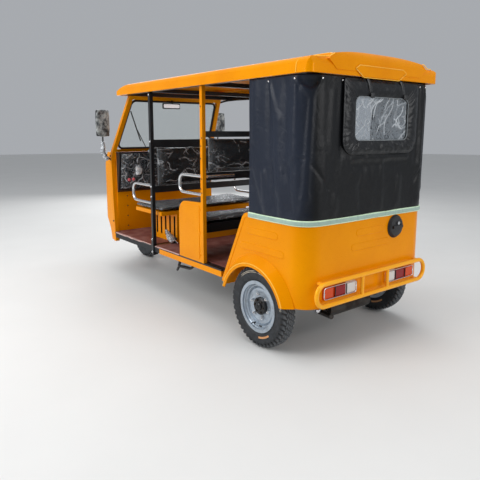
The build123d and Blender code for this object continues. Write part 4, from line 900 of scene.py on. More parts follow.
def outline(s, out, z):
    """Points on the curtain: a distance along its outline from its left front edge, out from it, and up."""
    turn = np.clip((s - SIDE_RUN) / CORNER_RUN, 0, 1) + np.clip(
        (s - SIDE_RUN - CORNER_RUN - REAR_RUN) / CORNER_RUN, 0, 1
    )
    facing = turn * np.pi / 2
    nx = -np.sin(facing)
    ny = np.cos(facing)
    back = np.clip(s, 0, SIDE_RUN) - np.clip(s - WHOLE_RUN + SIDE_RUN, 0, SIDE_RUN)
    right = np.clip(s - SIDE_RUN - CORNER_RUN, 0, REAR_RUN)
    reach = CURTAIN_R + out
    return spot(CURTAIN_FRONT - back + reach * nx, CURTAIN_HALF - CURTAIN_R - right + reach * ny, z)


# Folds of the left side and its corner: start (along, up), end, half widths at both, height
SIDE_FOLDS = (
    (180, 1676, 196, 1250, 9, 26, -7),
    (182, 1676, 262, 1450, 8, 30, 6),
    (262, 1450, 262, 1050, 30, 40, 5),
    (60, 1690, 60, 1350, 20, 36, 4),
    (330, 1660, 330, 1150, 24, 44, -4),
    (408, 1676, 398, 1250, 8, 30, 4),
    (408, 1678, 500, 1588, 7, 14, 17),
    (566, 1680, 512, 1590, 7, 12, 15),
    (452, 1652, 528, 1654, 20, 20, -22),
    (508, 1588, 478, 1000, 13, 20, 12),
    (478, 1000, 440, 880, 26, 13, 7),
    (470, 905, 520, 878, 8, 6, 4),
    (425, 1248, 500, 1242, 5, 5, 2),
    (420, 1236, 500, 1230, 5, 5, -2),
    (515, 1200, 640, 1050, 8, 8, -4),
    (600, 1300, 600, 930, 30, 40, 3),
    (15, 1130, 108, 880, 20, 26, -8),
    (140, 1130, 168, 880, 22, 26, 6),
    (212, 1200, 252, 880, 18, 22, -7),
    (292, 1150, 305, 880, 20, 22, 5),
    (345, 1180, 388, 880, 18, 20, -7),
)
REAR_FOLDS = (
    (835, 1222, 1400, 1222, 13, 13, 6),
    (850, 1180, 1380, 1180, 26, 26, -4),
    (1134, 1210, 1134, 880, 16, 30, 3),
    (741, 1676, 745, 1250, 8, 24, -6),
    (660, 1600, 650, 1250, 20, 30, 4),
    (700, 1000, 690, 880, 22, 26, 4),
    (930, 1050, 960, 880, 30, 36, -4),
    (1320, 1080, 1290, 880, 30, 30, 4),
    (1515, 1676, 1508, 1200, 9, 28, -6),
    (1580, 1676, 1560, 900, 18, 34, 4),
)


def curtain_folds(s, z):
    """How far the cloth stands out from the middle of its wall: its folds, and slow waves down its length."""
    mirrored = WHOLE_RUN - s
    height = 2.2 * lattice_noise(s / 95, z / 420, 11) + 0.9 * lattice_noise(s / 38, z / 190, 12)
    for line in SIDE_FOLDS:
        height = height + ridge(s, z, line) + ridge(mirrored, z, line)
    for line in REAR_FOLDS:
        height = height + ridge(s, z, line)
    calm = np.clip((z - CURTAIN_LOW) / 60, 0.1, 1) * np.clip((CURTAIN_TOP + 24 - z) / 60, 0.15, 1)
    return 9 * np.tanh(1.7 * height / 9) * calm


# Window in the curtain's rear: its opening, the film's lap and folds, and the padded border sewn round it
PANE = (-309.5, 213.5, 1330.0, 1590.0)
PANE_LAP = 12
PANE_FOLDS = (
    (180, 1580, 20, 1370, 5, 9, 6),
    (150, 1440, -20, 1345, 5, 8, 5),
    (-90, 1585, -150, 1500, 5, 8, -6),
)
BORDER = (-420.0, 320.0, 1245.0, 1694.0)


def round_corners(t, cy, cz, radius, share):
    """Points round four corner circles from the top left one: t counts corners, each an arc and then a side.

    Share is the arc's part of its count."""
    q = np.floor(t).astype(int) % 4
    f = t - np.floor(t)
    facing = (q + np.clip(f / share, 0, 1)) * np.pi / 2
    y = cy[q] + radius[q] * np.cos(facing)
    z = cz[q] + radius[q] * np.sin(facing)
    n = (q + 1) % 4
    facing_next = (q + 1) * np.pi / 2
    along = np.clip((f - share) / (1 - share), 0, 1)
    y = y + along * (cy[n] + radius[n] * np.cos(facing_next) - y)
    z = z + along * (cz[n] + radius[n] * np.sin(facing_next) - z)
    return y, z


def rounded(t, box, low_r, high_r):
    """Points round a rectangle with rounded corners."""
    y0, y1, z0, z1 = box
    radius = np.array([high_r, high_r, low_r, low_r])
    cy = np.array([y1, y0, y0, y1]) + radius * np.array([-1, 1, 1, -1])
    cz = np.array([z1, z1, z0, z0]) + radius * np.array([-1, -1, 1, 1])
    return round_corners(t, cy, cz, radius, 0.34)


def curtain():
    """The cloth: a grid along the outline and up, moved out by its folds, open where the window is."""
    s = np.linspace(0, WHOLE_RUN, 264)
    z = np.linspace(CURTAIN_LOW, CURTAIN_TOP, 80)
    s, z = np.meshgrid(s, z)
    out = -CURTAIN_T / 2 + curtain_folds(s, z)
    low = np.clip((CURTAIN_LOW + 22 - z) / 14, 0, 1)
    out = out * (1 - low) + low * (-CURTAIN_T / 2 - 1)
    middle_s = (s[:-1, :-1] + s[1:, 1:]) / 2
    middle_z = (z[:-1, :-1] + z[1:, 1:]) / 2
    y = along_rear(0) - middle_s
    inside = (y > PANE[0] - 6) & (y < PANE[1] + 6) & (middle_z > PANE[2] - 6) & (middle_z < PANE[3] + 6)
    piece = surface("curtain", outline(s, out, z), keep=~inside, cloth=np.stack([s, z], axis=-1) / 1000)
    walled(piece, CLOTH_THICK)
    return dress(piece, "curtain_cloth")


def window_border():
    """The padded cloth round the window: a closed section carried round it, puffed and wrinkled across."""
    t, v = np.meshgrid(np.linspace(0, 4, 361)[:-1], np.linspace(0, 1, 26))
    y_in, z_in = rounded(t, PANE, 40, 40)
    y_out, z_out = rounded(t, BORDER, 92, 20)
    across = np.clip((v - 0.24) / 0.68, 0, 1)
    lap = np.clip(1 - v / 0.12, 0, 1) * 0.16
    share = np.maximum(across, lap)
    round_run = 520 * t
    puff = 11 * np.sin(np.pi * across) ** 0.75
    wave = lattice_noise(round_run / 30 + 1.2 * across, across * 1.5, 21)
    wave = wave + 0.6 * lattice_noise(round_run / 14 - 0.8 * across, across * 2.5, 22)
    bottom = np.exp(-(((z_in + z_out) / 2 - 1290) / 60) ** 2)
    wrinkle = (2.6 + 3.2 * bottom) * wave * np.sin(np.pi * across) ** 0.6
    stitch = -3.0 * np.exp(-(((v - 0.86) / 0.03) ** 2)) + 1.4 * np.exp(-(((v - 0.93) / 0.03) ** 2))
    front = np.clip((v - 0.12) / 0.12, 0, 1)
    out = -9 + front * 12 + np.where(v > 0.24, puff + wrinkle + stitch, 0)
    out = np.where(v > 0.96, 1.0, out)
    y = y_in + share * (y_out - y_in)
    z = z_in + share * (z_out - z_in)
    piece = surface("window_border", outline(along_rear(0) - y, out - 1, z), wrap=True, across=True)
    return dress(piece, "curtain_cloth", BORDER_VINYL)


def window_piping():
    """The pale cord sewn round the window's opening: a closed round bead on its outline."""
    y, z = rounded(np.linspace(0, 4, 281)[:-1], PANE, 40, 40)
    bead = tube("window_piping", outline(along_rear(0) - y, 4.0, z), 3.0, 8, closed=True)
    return dress(bead, "curtain_cloth", MADE["grey_piping"])


def window_pane():
    """The clear film in the opening: a grid a little larger than it, crumpled by sharp soft creases."""
    y = np.linspace(PANE[1] + PANE_LAP, PANE[0] - PANE_LAP, 136)
    z = np.linspace(PANE[2] - PANE_LAP, PANE[3] + PANE_LAP, 72)
    y, z = np.meshgrid(y, z)
    edge = np.minimum(np.minimum(y - PANE[0], PANE[1] - y), np.minimum(z - PANE[2], PANE[3] - z))
    held = np.clip(edge / 40, 0, 1)
    height = 9 * (creases(y / 120, z / 100, 31) - 0.5)
    for line in PANE_FOLDS:
        height = height + ridge(y, z, line)
    out = -6 + np.clip(height, -5, 5) * (0.15 + 0.85 * held)
    piece = surface("window_pane", outline(along_rear(0) - y, out, z))
    # White glint lines on the film: painted highlights
    steep = glint_lines(y, z, 16, 260, 32, (1.9, 2.5))
    mark(piece, "crease_glint", np.maximum(steep, glint_lines(y, z, 16, 120, 33)))
    walled(piece, FILM_THICK)
    return dress(piece, "clear_film")


# Hem tape: its closed section as (out, up), its middle, and where wrinkles nick it along the outline
HEM_MIDDLE = 855
HEM_SECTION = (
    (-9.4, 838),
    (-2, 837.2),
    (2.2, 839),
    (3.4, 844),
    (3.8, 855),
    (3.4, 866),
    (2.2, 871),
    (-2, 872.8),
    (-9.4, 872),
)
HEM_NICKS = (60, 205, 330, 470, 560, 655, 742, 838, 905, 1010, 1098, 1185, 1290, 1372, 1490, 1600, 1840)


def hem():
    """The tape along the cloth's foot: a flat closed section along the outline, nicked by wrinkles."""
    section = np.array(HEM_SECTION)
    s = np.linspace(-1.5, WHOLE_RUN + 1.5, 620)
    nicks = np.array(HEM_NICKS)
    lean = 10 * np.sin(nicks)
    z = section[:, 1][:, None] + 1.4 * lattice_noise(s / 120, s * 0, 41)[None]
    near = (s[None, :, None] + (z[:, :, None] - HEM_MIDDLE) * lean / 35 - nicks) / 5.5
    nick = (2.2 * np.exp(-(near ** 2)) - 1.5 * np.exp(-((near - 1.6) ** 2))).sum(-1)
    outer = np.clip((section[:, 0] + 5) / 6, 0, 1)[:, None]
    out = section[:, 0][:, None] + outer * (0.9 * lattice_noise(s / 46, z / 20, 42) - nick)
    grid = outline(np.broadcast_to(s, z.shape), np.minimum(out, 4.4), z).transpose(1, 0, 2)
    return dress(surface("curtain_hem_tape", grid, wrap=True, ends=True), "hem_tape")


def studs():
    """Domed silver snap studs along the curtain's top, each on its own ring."""
    dome = [(6.2, -3), (6.2, 0.6), (5.4, 2.2), (3.4, 3.6), (1.4, 4.1)]
    on_rear = [along_rear(y) for y in (323, 134, -40, -240, -451)]
    s = np.array([180, 408, 566, *on_rear, WHOLE_RUN - 566, WHOLE_RUN - 408, WHOLE_RUN - 180])
    z = np.full(len(s), 1676.0)
    foot = outline(s, -CURTAIN_T / 2 + curtain_folds(s, z) + 3.2, z)
    return fasten("curtain_studs", dome, 14, foot, foot - outline(s, -100.0, z), "chrome")


def strap(name, y_top, y_low):
    """A flat strap down over the window's border: a thin closed section, bowed out over the padding."""
    t = np.linspace(0, 1, 40)[:, None]
    across = np.array([-15, -14, 14, 15, 14, -14])[None]
    thick = np.array([0, 1.1, 1.1, 0, -1.1, -1.1])[None]
    y = y_top + (y_low - y_top) * t + across
    z = 1698 - 100 * t + 0 * across
    out = 3 + 10 * np.sin(np.pi * np.clip(t * 0.9 + 0.1, 0, 1)) ** 0.5 + thick
    piece = surface(name, outline(along_rear(0) - y, out, z), wrap=True, ends=True)
    return dress(piece, "black_plastic", WEBBING)


def buckle(name, y, z):
    """A side-squeeze buckle at a strap's end: two rounded plates on one another, waisted in the middle."""
    level = np.array([-4.5, -4, -1, 2, 4.2, 4.8])[:, None]
    size = np.array([0.3, 0.94, 1.0, 1.0, 0.9, 0.3])[:, None]
    wide, tall = squared_round((20, 16), 0.42, 48)
    waist = 1 - 0.16 * np.exp(-((tall / 5) ** 2))
    grid = outline(along_rear(0) - (y + size * wide * waist), 14 + level, z + size * tall)
    return dress(surface(name, grid, wrap=True, ends=True), "black_plastic")


# Wheels

# Half of the carcass from bead to crown as (radius, offset), and the tread's pitch count and groove depth
CARCASS = (
    (154, -42.4),
    (173, -42.8),
    (177, -47),
    (184, -50.5),
    (202, -53),
    (222, -54),
    (240, -52.8),
    (252, -49.5),
    (261, -44),
    (266, -37),
    (269.5, -18),
    (271, 0),
)
PITCHES = 44
TREAD_DEEP = 8.0
# Raised rings on the flank: radius, half width and height
FLANK_RIBS = ((188, 2.4, 2.2), (206, 1.8, 1.2), (227, 1.4, 1.0), (235, 1.4, 1.0))


def tyre(name, node, body, centre_x, centre_y):
    """A tyre: its section turned about the axle, then sunk where the grooves of the tread run.

    Grooves are five zig-zag lines round the tyre, short cuts across its ribs, and slanting notches that part
    its shoulders into lugs."""
    half = list(CARCASS)
    section = eased(half + [(r, -w) for r, w in reversed(half[:-1])], 72, 2)
    angle = np.linspace(0, 2 * np.pi, PITCHES * 12, endpoint=False)
    phase = angle * PITCHES / (2 * np.pi)
    radius = section[:, 0][:, None] + 0 * phase[None]
    width = section[:, 1][:, None] + 0 * phase[None]
    phase = phase[None] + 0 * radius
    saw = 2 * np.abs(2 * ((phase + 0.25) % 1) - 1) - 1
    side = np.sign(width)
    tread = np.clip((radius - 246) / 8, 0, 1)
    flank_cut = np.clip((radius - 236) / 6, 0, 1)
    lines = np.zeros_like(radius)
    for place, swing in ((0, 3.5), (17, 4.5), (33, 5.0)):
        away = np.abs(np.abs(width) - place - swing * saw * (1 if place else side))
        lines = np.maximum(lines, np.clip(3.2 - away, 0, 1))
    slant = (phase + 0.012 * np.abs(width) * side + 0.5 * (side > 0)) % 1
    notch = np.clip((0.24 - np.abs(slant - 0.5)) * 9, 0, 1) * np.clip((np.abs(width) - 31) / 3, 0, 1)
    sipe = np.clip((0.09 - np.abs((phase + 0.02 * width) % 1 - 0.5)) * 22, 0, 1) * (np.abs(width) < 33)
    groove = np.maximum(np.maximum(lines, 0.8 * sipe) * tread, notch * flank_cut)
    lip = sum(high * np.exp(-(((radius - middle) / wide) ** 2)) for middle, wide, high in FLANK_RIBS)
    rise = lip - groove * TREAD_DEEP
    flank = np.gradient(section, axis=0)
    normal = np.stack([-flank[:, 1], flank[:, 0]], axis=1)
    normal /= np.linalg.norm(normal, axis=1, keepdims=True)
    normal *= np.sign(normal[len(normal) // 2, 0])
    width = np.clip(width + normal[:, 1:] * rise, -54.5, 54.5)
    radius = np.minimum(radius + normal[:, :1] * rise, 1000 * TYRE_R)
    x = centre_x + radius * np.cos(angle)[None]
    z = 1000 * TYRE_R + radius * np.sin(angle)[None]
    piece = surface(name, spot(x, centre_y + width, z), wrap=True, across=True)
    mark(piece, "groove", groove)
    dress(piece, "tyre_rubber", OWN[node], body)
    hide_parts(node)


# Turned pieces of a wheel as (radius, height)
NUT = ((14, -2), (14, 1.5), (12.5, 2.5), (11, 2.6), (11, 14), (8.5, 16.5), (5, 17), (5, 23))
HUB_BOLT = ((8.6, -2), (8.6, 1), (7, 1.2), (7, 6.5), (5.5, 7.8))
HUB_CAP = ((26, -4), (26, 7), (24.5, 9.5), (19, 12.5), (11, 14), (10, 19), (7, 20.5))
VALVE = ((5, 0), (5, 16), (3.6, 18), (3.6, 24), (4.4, 24.5), (4.4, 34), (3, 36))
# The circles they stand on, and how far their feet lie out from the wheel's middle
NUT_RING = 82
HUB_RING = 41
VALVE_RING = 133
SLOT_RING = 136
HUB_FACE = 30
DISC_FACE = 11
VALVE_FOOT = 19
SLOT_FACE = 21.5


def round_axle(count, radius, centre_x, y, start):
    """Equally spaced points on a circle about the axle."""
    angle = start + np.arange(count) * 2 * np.pi / count
    return spot(centre_x + radius * np.cos(angle), y, 1000 * TYRE_R + radius * np.sin(angle))


def wheel_trim(label, body, centre_x, centre_y, side):
    """What is bolted to a wheel: six nuts on the disc, six bolts and a cap on the hub, a valve, and a dark
    plate that is painted shade for the valve slot's opening.
    """
    for name, profile, sides, count, radius, face, start, slot, finish, sharp in (
        ("nuts", NUT, 6, 6, NUT_RING, DISC_FACE, 0.26, "chrome", MADE["bright_zinc"], 25),
        ("hub_bolts", HUB_BOLT, 6, 6, HUB_RING, HUB_FACE, 0.1, "cast_metal", MADE["brassy_zinc"], 25),
        ("hub_cap", HUB_CAP, 28, 1, 0, HUB_FACE, 0, "black_plastic", FINISHES["black_paint"], 35),
        ("valve", VALVE, 12, 1, VALVE_RING, VALVE_FOOT, -1.2, "black_plastic", None, 35),
    ):
        where = round_axle(count, radius, centre_x, centre_y + side * face, start)
        fasten(f"{label}_{name}", profile, sides, where, (0, side, 0), slot, finish, body, sharp)
    # The slot: a dark plate standing for the opening, painted shade
    corners = [(-13, -5), (13, -5), (13, 5), (-13, 5)]
    plate = np.array([(x, y, z) for z in (-3, 1.2) for x, y in corners])
    sides = [[3, 2, 1, 0], [4, 5, 6, 7], [0, 1, 5, 4], [1, 2, 6, 5], [2, 3, 7, 6], [3, 0, 4, 7]]
    where = round_axle(1, SLOT_RING, centre_x, centre_y + side * SLOT_FACE, -1.62 if side > 0 else -1.5)
    dress(stamp(f"{label}_slot", (plate, sides), where, (0, side, 0)), "black_plastic", None, body)


# Seats and mats

# The pads, the cubes they are remeshed in, how far they may swell and how far in they start, in metres
PADS = ("driver_cushion", "mid_cushion", "rear_cushion", "driver_backrest", "mid_backrest", "rear_backrest")
VOXEL = 0.015
SWELL = 0.018
START_IN = 0.012
SWELL_FRAMES = 20
# Mats: name, ends along the floor, and between which places they hang over the sills, in millimetres
MATS = (("mat_front", 1465, 2214, (1470, 2190)), ("mat_rear", 445, 1413, (1008, 1410)))
MAT_TOP = 418.6
MAT_THICK = 2.8


def evaluated_mesh(piece):
    """A copy of a piece's mesh as its modifiers leave it."""
    view = bpy.context.evaluated_depsgraph_get()
    return bpy.data.meshes.new_from_object(piece.evaluated_get(view))


def swollen_pads():
    """Each pad's CAD solid, drawn in, remeshed in cubes and blown up as cloth, then set back in its space."""
    started = {}
    for node in PADS:
        mesh = nodes[node].data.copy()
        mesh.materials.clear()
        low, high = (np.array(corner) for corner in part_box(node))
        middle = (low + high) / 2
        shrink = 1 - START_IN / ((high - low) / 2)
        move_to(mesh, middle + (coords_of(mesh) - middle) * shrink)
        piece = shown(node + "_pad", mesh)
        weld = piece.modifiers.new("weld", "WELD")
        weld.merge_threshold = 0.0001
        cubes = piece.modifiers.new("cubes", "REMESH")
        cubes.mode = "VOXEL"
        cubes.voxel_size = VOXEL
        piece.data = evaluated_mesh(piece)
        piece.modifiers.clear()
        started[node] = (piece, coords_of(piece.data), low, high)
    for piece, *_ in started.values():
        cloth = piece.modifiers.new("swell", "CLOTH").settings
        cloth.quality = 5
        cloth.mass = 0.4
        cloth.tension_stiffness = 18
        cloth.compression_stiffness = 18
        cloth.shear_stiffness = 8
        cloth.bending_stiffness = 1.2
        cloth.use_pressure = True
        cloth.uniform_pressure_force = 4
        cloth.effector_weights.gravity = 0
    for frame_number in range(1, SWELL_FRAMES + 1):
        bpy.context.scene.frame_set(frame_number)
    pads = {}
    for node, (piece, start, low, high) in started.items():
        end = coords_of(evaluated_mesh(piece)) if piece.modifiers else start
        piece.modifiers.clear()
        step = end - start
        far = np.linalg.norm(step, axis=1, keepdims=True)
        points = start + step * np.minimum(1, SWELL / np.maximum(far, 1e-9))
        own_low = points.min(0)
        own_high = points.max(0)
        move_to(piece.data, low + (points - own_low) / (own_high - own_low) * (high - low))
        finer = piece.modifiers.new("finer", "SUBSURF")
        finer.levels = 1
        finer.render_levels = 1
        piece.data = evaluated_mesh(piece)
        piece.modifiers.clear()
        pads[node] = (piece, low, high)
    bpy.context.scene.frame_set(1)
    return pads


def seat(node, piece, low, high, seed):
    """Finishes a pad: rests it flat where it is carried, pulls its skin into wrinkles and wraps it in film.

    Wrinkles and film creases are moves along the surface's own direction by noises of its place."""
    mesh = piece.data
    points = coords_of(mesh)
    direction = np.empty(len(mesh.vertices) * 3, dtype=np.float32)
    mesh.vertices.foreach_get("normal", direction)
    direction = direction.reshape(-1, 3)
    cushion = node.endswith("cushion")
    u = points[:, 1] * 1000
    v = (points[:, 0] if cushion else points[:, 2]) * 1000
    edge = 1.6 * lattice_noise(u / 60, v / 45, seed) + 0.8 * lattice_noise(u / 22, v / 20, seed + 5)
    film = 7 * creases(u / 85, v / 75, seed + 9) + 2.5 * creases(u / 30, v / 26, seed + 13)
    axis = 2 if cushion else 0
    back = low[axis] + 0.0004
    skin = points + direction * (edge[:, None] - 3.5) / 1000
    skin[:, axis] = np.maximum(skin[:, axis], back)
    move_to(mesh, np.clip(skin, low, high))
    smooth(mesh)
    dress(piece, "seat_vinyl")
    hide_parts(node)
    cover = mesh.copy()
    shell = points + direction * (film[:, None] - 4.0) / 1000
    shell = skin + np.maximum(0.0012, np.sum((shell - skin) * direction, axis=1, keepdims=True)) * direction
    shell[:, axis] = np.maximum(shell[:, axis], back + 0.0005)
    move_to(cover, shell)
    wrap = shown(node + "_film", cover)
    # White glint lines on the film: painted highlights
    level = glint_lines(u, v, 10 if cushion else 18, 170, seed + 2, (-0.25, 0.25))
    mark(wrap, "crease_glint", np.maximum(level, glint_lines(u, v, 8 if cushion else 30, 80, seed + 3)) * 0.8)
    dress(wrap, "clear_film", SEAT_FILM)


def floor_mats():
    """Rubber mats: a thin closed slab over the floor whose long edges curl over the sills in slow waves."""
    t = np.concatenate([np.linspace(-1, -0.93, 8), np.linspace(-0.92, 0.92, 24), np.linspace(0.93, 1, 8)])
    for name, x0, x1, hang in MATS:
        x = np.linspace(x0, x1, 96)[:, None]
        out = np.clip((x - hang[0]) / 6, 0, 1) * np.clip((hang[1] - x) / 6, 0, 1)
        half = 534 + 56 * out + 2.5 * lattice_noise(x / 60, x * 0, 51) * out
        y = half * t
        over = np.clip((np.abs(y) - 578) / 12, 0, 1)
        sag = over ** 2 * (7 + 5 * lattice_noise(x / 80, np.sign(t) * 3 + 0 * x, 52))
        top = MAT_TOP - sag + 0.5 * lattice_noise(x / 70, y / 70, 53)
        grid = np.concatenate([spot(x, y, top), spot(x, y, top - MAT_THICK)[:, ::-1]], axis=1)
        piece = surface(name, grid, wrap=True, ends=True)
        dress(piece, "floor_steel", MAROON)


# Small pieces

BOLT = [(9.5, -2), (9.5, 1.0), (7.6, 1.4), (7.6, 5.4), (6.0, 6.6), (2.0, 7.2)]
RIVET = [(6.4, -1.5), (6.4, 0.8), (5.2, 2.2), (2.6, 3.2), (0.8, 3.5)]
DIMPLE = [(6.2, -2), (6.2, 0.35), (4.0, 0.6), (1.2, 0.65)]

# Fixings on each side: name, profile, its sides, along, out and up, which way they face, slot and finish
FIXINGS = (
    (
        "post_bolts",
        BOLT,
        10,
        (1439, (590, 590, 590, 590, 593.3, 593.3), (1682, 1300, 922, 837, 470, 360)),
        (0, 1, 0),
        "chrome",
        "bright_zinc",
    ),
    # Dark discs for the drilled holes: painted shade
    (
        "post_hole_shades",
        DIMPLE,
        12,
        ((668, 678, 682, 676, 682, 672, 678), 590, (1337, 1280, 1190, 1042, 969, 939, 1560)),
        (0, 1, 0),
        "black_plastic",
        None,
    ),
    ("panel_rivets", RIVET, 10, (2217.6, 437, (660, 562, 462, 758)), (-1, 0, 0), "black_plastic", None),
    (
        "pillar_screws",
        BOLT,
        10,
        ((2262, 2258, 2238), 580, (1150, 1118, 520)),
        (0, 1, 0),
        "black_plastic",
        None,
    ),
    ("guard_rivets", RIVET, 10, (702, 590.4, (470, 640, 815)), (0, 1, 0), "yellow_paint", None),
    ("floor_bolts", BOLT, 10, ((2150, 1530), 540, 418), (0, 0, 1), "chrome", "bright_zinc"),
)


def fixings():
    """Bolts, rivets, and dark discs that are painted shade for the holes drilled in the frame, in rows where
    the photograph shows them.
    """
    for label, side in SIDES:
        for name, profile, sides, (x, y, z), out, slot, finish in FIXINGS:
            where = spot(x, np.multiply(side, y), z)
            facing = np.multiply(out, (1, side, 1))
            fasten(f"{label}_{name}", profile, sides, where, facing, slot, MADE.get(finish))


# Windscreen's pillars: their foot's height, half width and place, and how far they rise, lean in and back
PILLAR_FOOT = 1190.0
PILLAR_HALF = 540
PILLAR_X = 2252.0
PILLAR_RISE = 513.0
PILLAR_IN = 70
PILLAR_BACK = PILLAR_X - 1984.0


def gasket():
    """The windscreen's rubber: a closed bead round the glass with eased corners, on the pane's own slope."""
    radius = 48.0
    cz = np.array([1664 - radius, 1664 - radius, 1224 + radius, 1224 + radius])
    half = PILLAR_HALF - PILLAR_IN * (cz - PILLAR_FOOT) / PILLAR_RISE - 9 - radius
    cy = np.array([1, -1, -1, 1]) * half
    y, z = round_corners(np.linspace(0, 4, 240, endpoint=False), cy, cz, np.full(4, radius), 0.3)
    x = PILLAR_X - (z - PILLAR_FOOT) * PILLAR_BACK / PILLAR_RISE - 17
    piece = tube("windscreen_gasket", spot(x, y, z), 10.5, 10, closed=True)
    return dress(piece, "black_plastic")


MIRROR_ARM = ((2246, 612, 1118), (2243, 640, 1150), (2240, 660, 1180), (2236, 663, 1214), (2226, 665, 1290))


def mirrored(points, side):
    """The left side's points, turned over to the right for side -1."""
    return np.multiply(points, (1, side, 1))


def mirror_faces():
    """Mirror faces that glow white as a painted reflection: the one inside under the header, and one on each
    door mirror's rear.
    """
    rings = [(-0.4, 0.9), (0.0, 1.0), (1.2, 1.0), (1.8, 0.96), (2.0, 0.5)]
    inner = plump("inside_mirror_face", (1918.2, 90, 1622), (0, 1, 0), (0, 0, -1), (86, 17), rings, 0.25)
    dress(inner, "chrome", MADE["mirror_glass_painted_glow"])
    for label, side in SIDES:
        middle = (2185.4, side * 672.5, 1460)
        face = plump(f"{label}_mirror_face", middle, (0, 1, 0), (0, 0, -1), (54, 110), rings, 0.3)
        dress(face, "chrome", MADE["mirror_glass_painted_glow"])


def mirror_wraps():
    """Packing on the door mirrors: bubble film round each head, crumpled white foil round the bent arm."""
    rings = [(-19, 0.4), (-18.5, 0.93), (-14, 1.0), (0, 1.02), (14, 1.0), (18.5, 0.93), (19, 0.4)]
    for label, side in SIDES:
        middle = (2200, side * 672.5, 1460)
        look = {"power": 0.42, "rough": 3.2, "scale": 26, "seed": 80}
        head = plump(f"{label}_mirror_film", middle, (0, 1, 0), (0, 0, -1), (62.5, 121), rings, **look)
        dress(head, "clear_film", MADE["bubble_film"])
        arm = mirrored(MIRROR_ARM, side)
        radius = (14, 22, 25, 22, 24, 19, 12)
        wrap = bar(f"{label}_mirror_arm_foil", arm, radius, 60, 4, rough=17.0, seed=84 + side, sides=22)
        dress(wrap, "clear_film", MADE["white_foil"])


# Fascia: its foot's height and place, and how much it rises and leans back
FASCIA_FOOT = 820
FASCIA_X = 2188
FASCIA_RISE = 330
FASCIA_BACK = 48
KNOB = ((15, -4), (15, 4), (16, 5), (16, 9), (14.5, 13), (11, 15.5), (5, 16.5))
COLLAR = ((21, -3), (21, 3), (19, 5), (10, 5.5))


def fascia(z, out):
    """How far ahead a place at a height, so far out from the fascia, lies: it leans back as it rises."""
    return FASCIA_X - FASCIA_BACK * np.clip((z - FASCIA_FOOT) / FASCIA_RISE, 0, 1) - out


def dash_fittings():
    """On the black fascia: crumpled film on both halves, two red knobs and the wrapped instrument."""
    inner, outer, low, high = 95, 520, 835, 1172
    for label, side in SIDES:
        y, z = np.meshgrid(np.linspace(inner, outer, 90) * side, np.linspace(low, high, 72))
        edge = np.minimum(np.minimum(np.abs(y) - inner, outer - np.abs(y)), np.minimum(z - low, high - z))
        height = 1.2 + 20 * creases(y / 78 + 9, z / 70, 90 + side) * np.clip(edge / 18, 0, 1)
        film = surface(f"{label}_dash_film", spot(fascia(z, height), y, z))
        # White glint lines on the film: painted highlights
        mark(film, "crease_glint", glint_lines(y, z, 26, 130, 96 + side))
        walled(film, FILM_THICK)
        dress(film, "clear_film", SEAT_FILM)
    height = np.array([921, 924])
    spots = spot(fascia(height, 3), (438, 392), height)
    fasten("dash_knobs", KNOB, 20, spots, (-1, 0, -0.14), "lamp_red", MADE["knob_red"])
    fasten("dash_knob_collars", COLLAR, 24, spots, (-1, 0, -0.14), "black_plastic")
    rings = [(-29, 0.4), (-24, 0.8), (-14, 0.98), (0, 1.0), (6, 0.6)]
    crumple = {"rough": 16, "scale": 34, "seed": 95}
    middle = (fascia(1030, 2), 338, 1030)
    gauge = plump("wrapped_instrument", middle, (0, -1, 0), (0.14, 0, 0.99), (36, 62), rings, 0.6, **crumple)
    dress(gauge, "clear_film", MADE["bright_foil"])


def hand_lever():
    """The parking lever beside the driver's box: a bracket, a thin bar and a grip wrapped in grey film."""
    rings = [(-6, 0.8), (-5, 1), (5, 1), (6, 0.8)]
    foot = plump("lever_bracket", (1392, 402, 446), (1, 0, 0), (0, 0, 1), (34, 28), rings)
    dress(foot, "chassis_black")
    rod = bar("lever_bar", ((1392, 412, 440), (1330, 428, 458), (1262, 446, 448)), (6, 6, 5), 30)
    dress(rod, "chrome", MADE["bright_zinc"])
    path = ((1372, 424, 436), (1402, 430, 462), (1440, 436, 500), (1466, 440, 532))
    crumple = {"rough": 14.0, "seed": 98, "squash": 0.55, "sides": 24}
    grip = bar("lever_grip_film", path, (24, 33, 31, 23, 15, 8), **crumple)
    dress(grip, "clear_film", MADE["white_foil"])


# Steering: the stem's lean in degrees, where its line meets the axle's height, and its length to the bar
STEM_LEAN = 27.0
STEM_FOOT = 2610.0
STEM_LENGTH = 1020.0
FRONT_AXLE_HEIGHT = 271.0


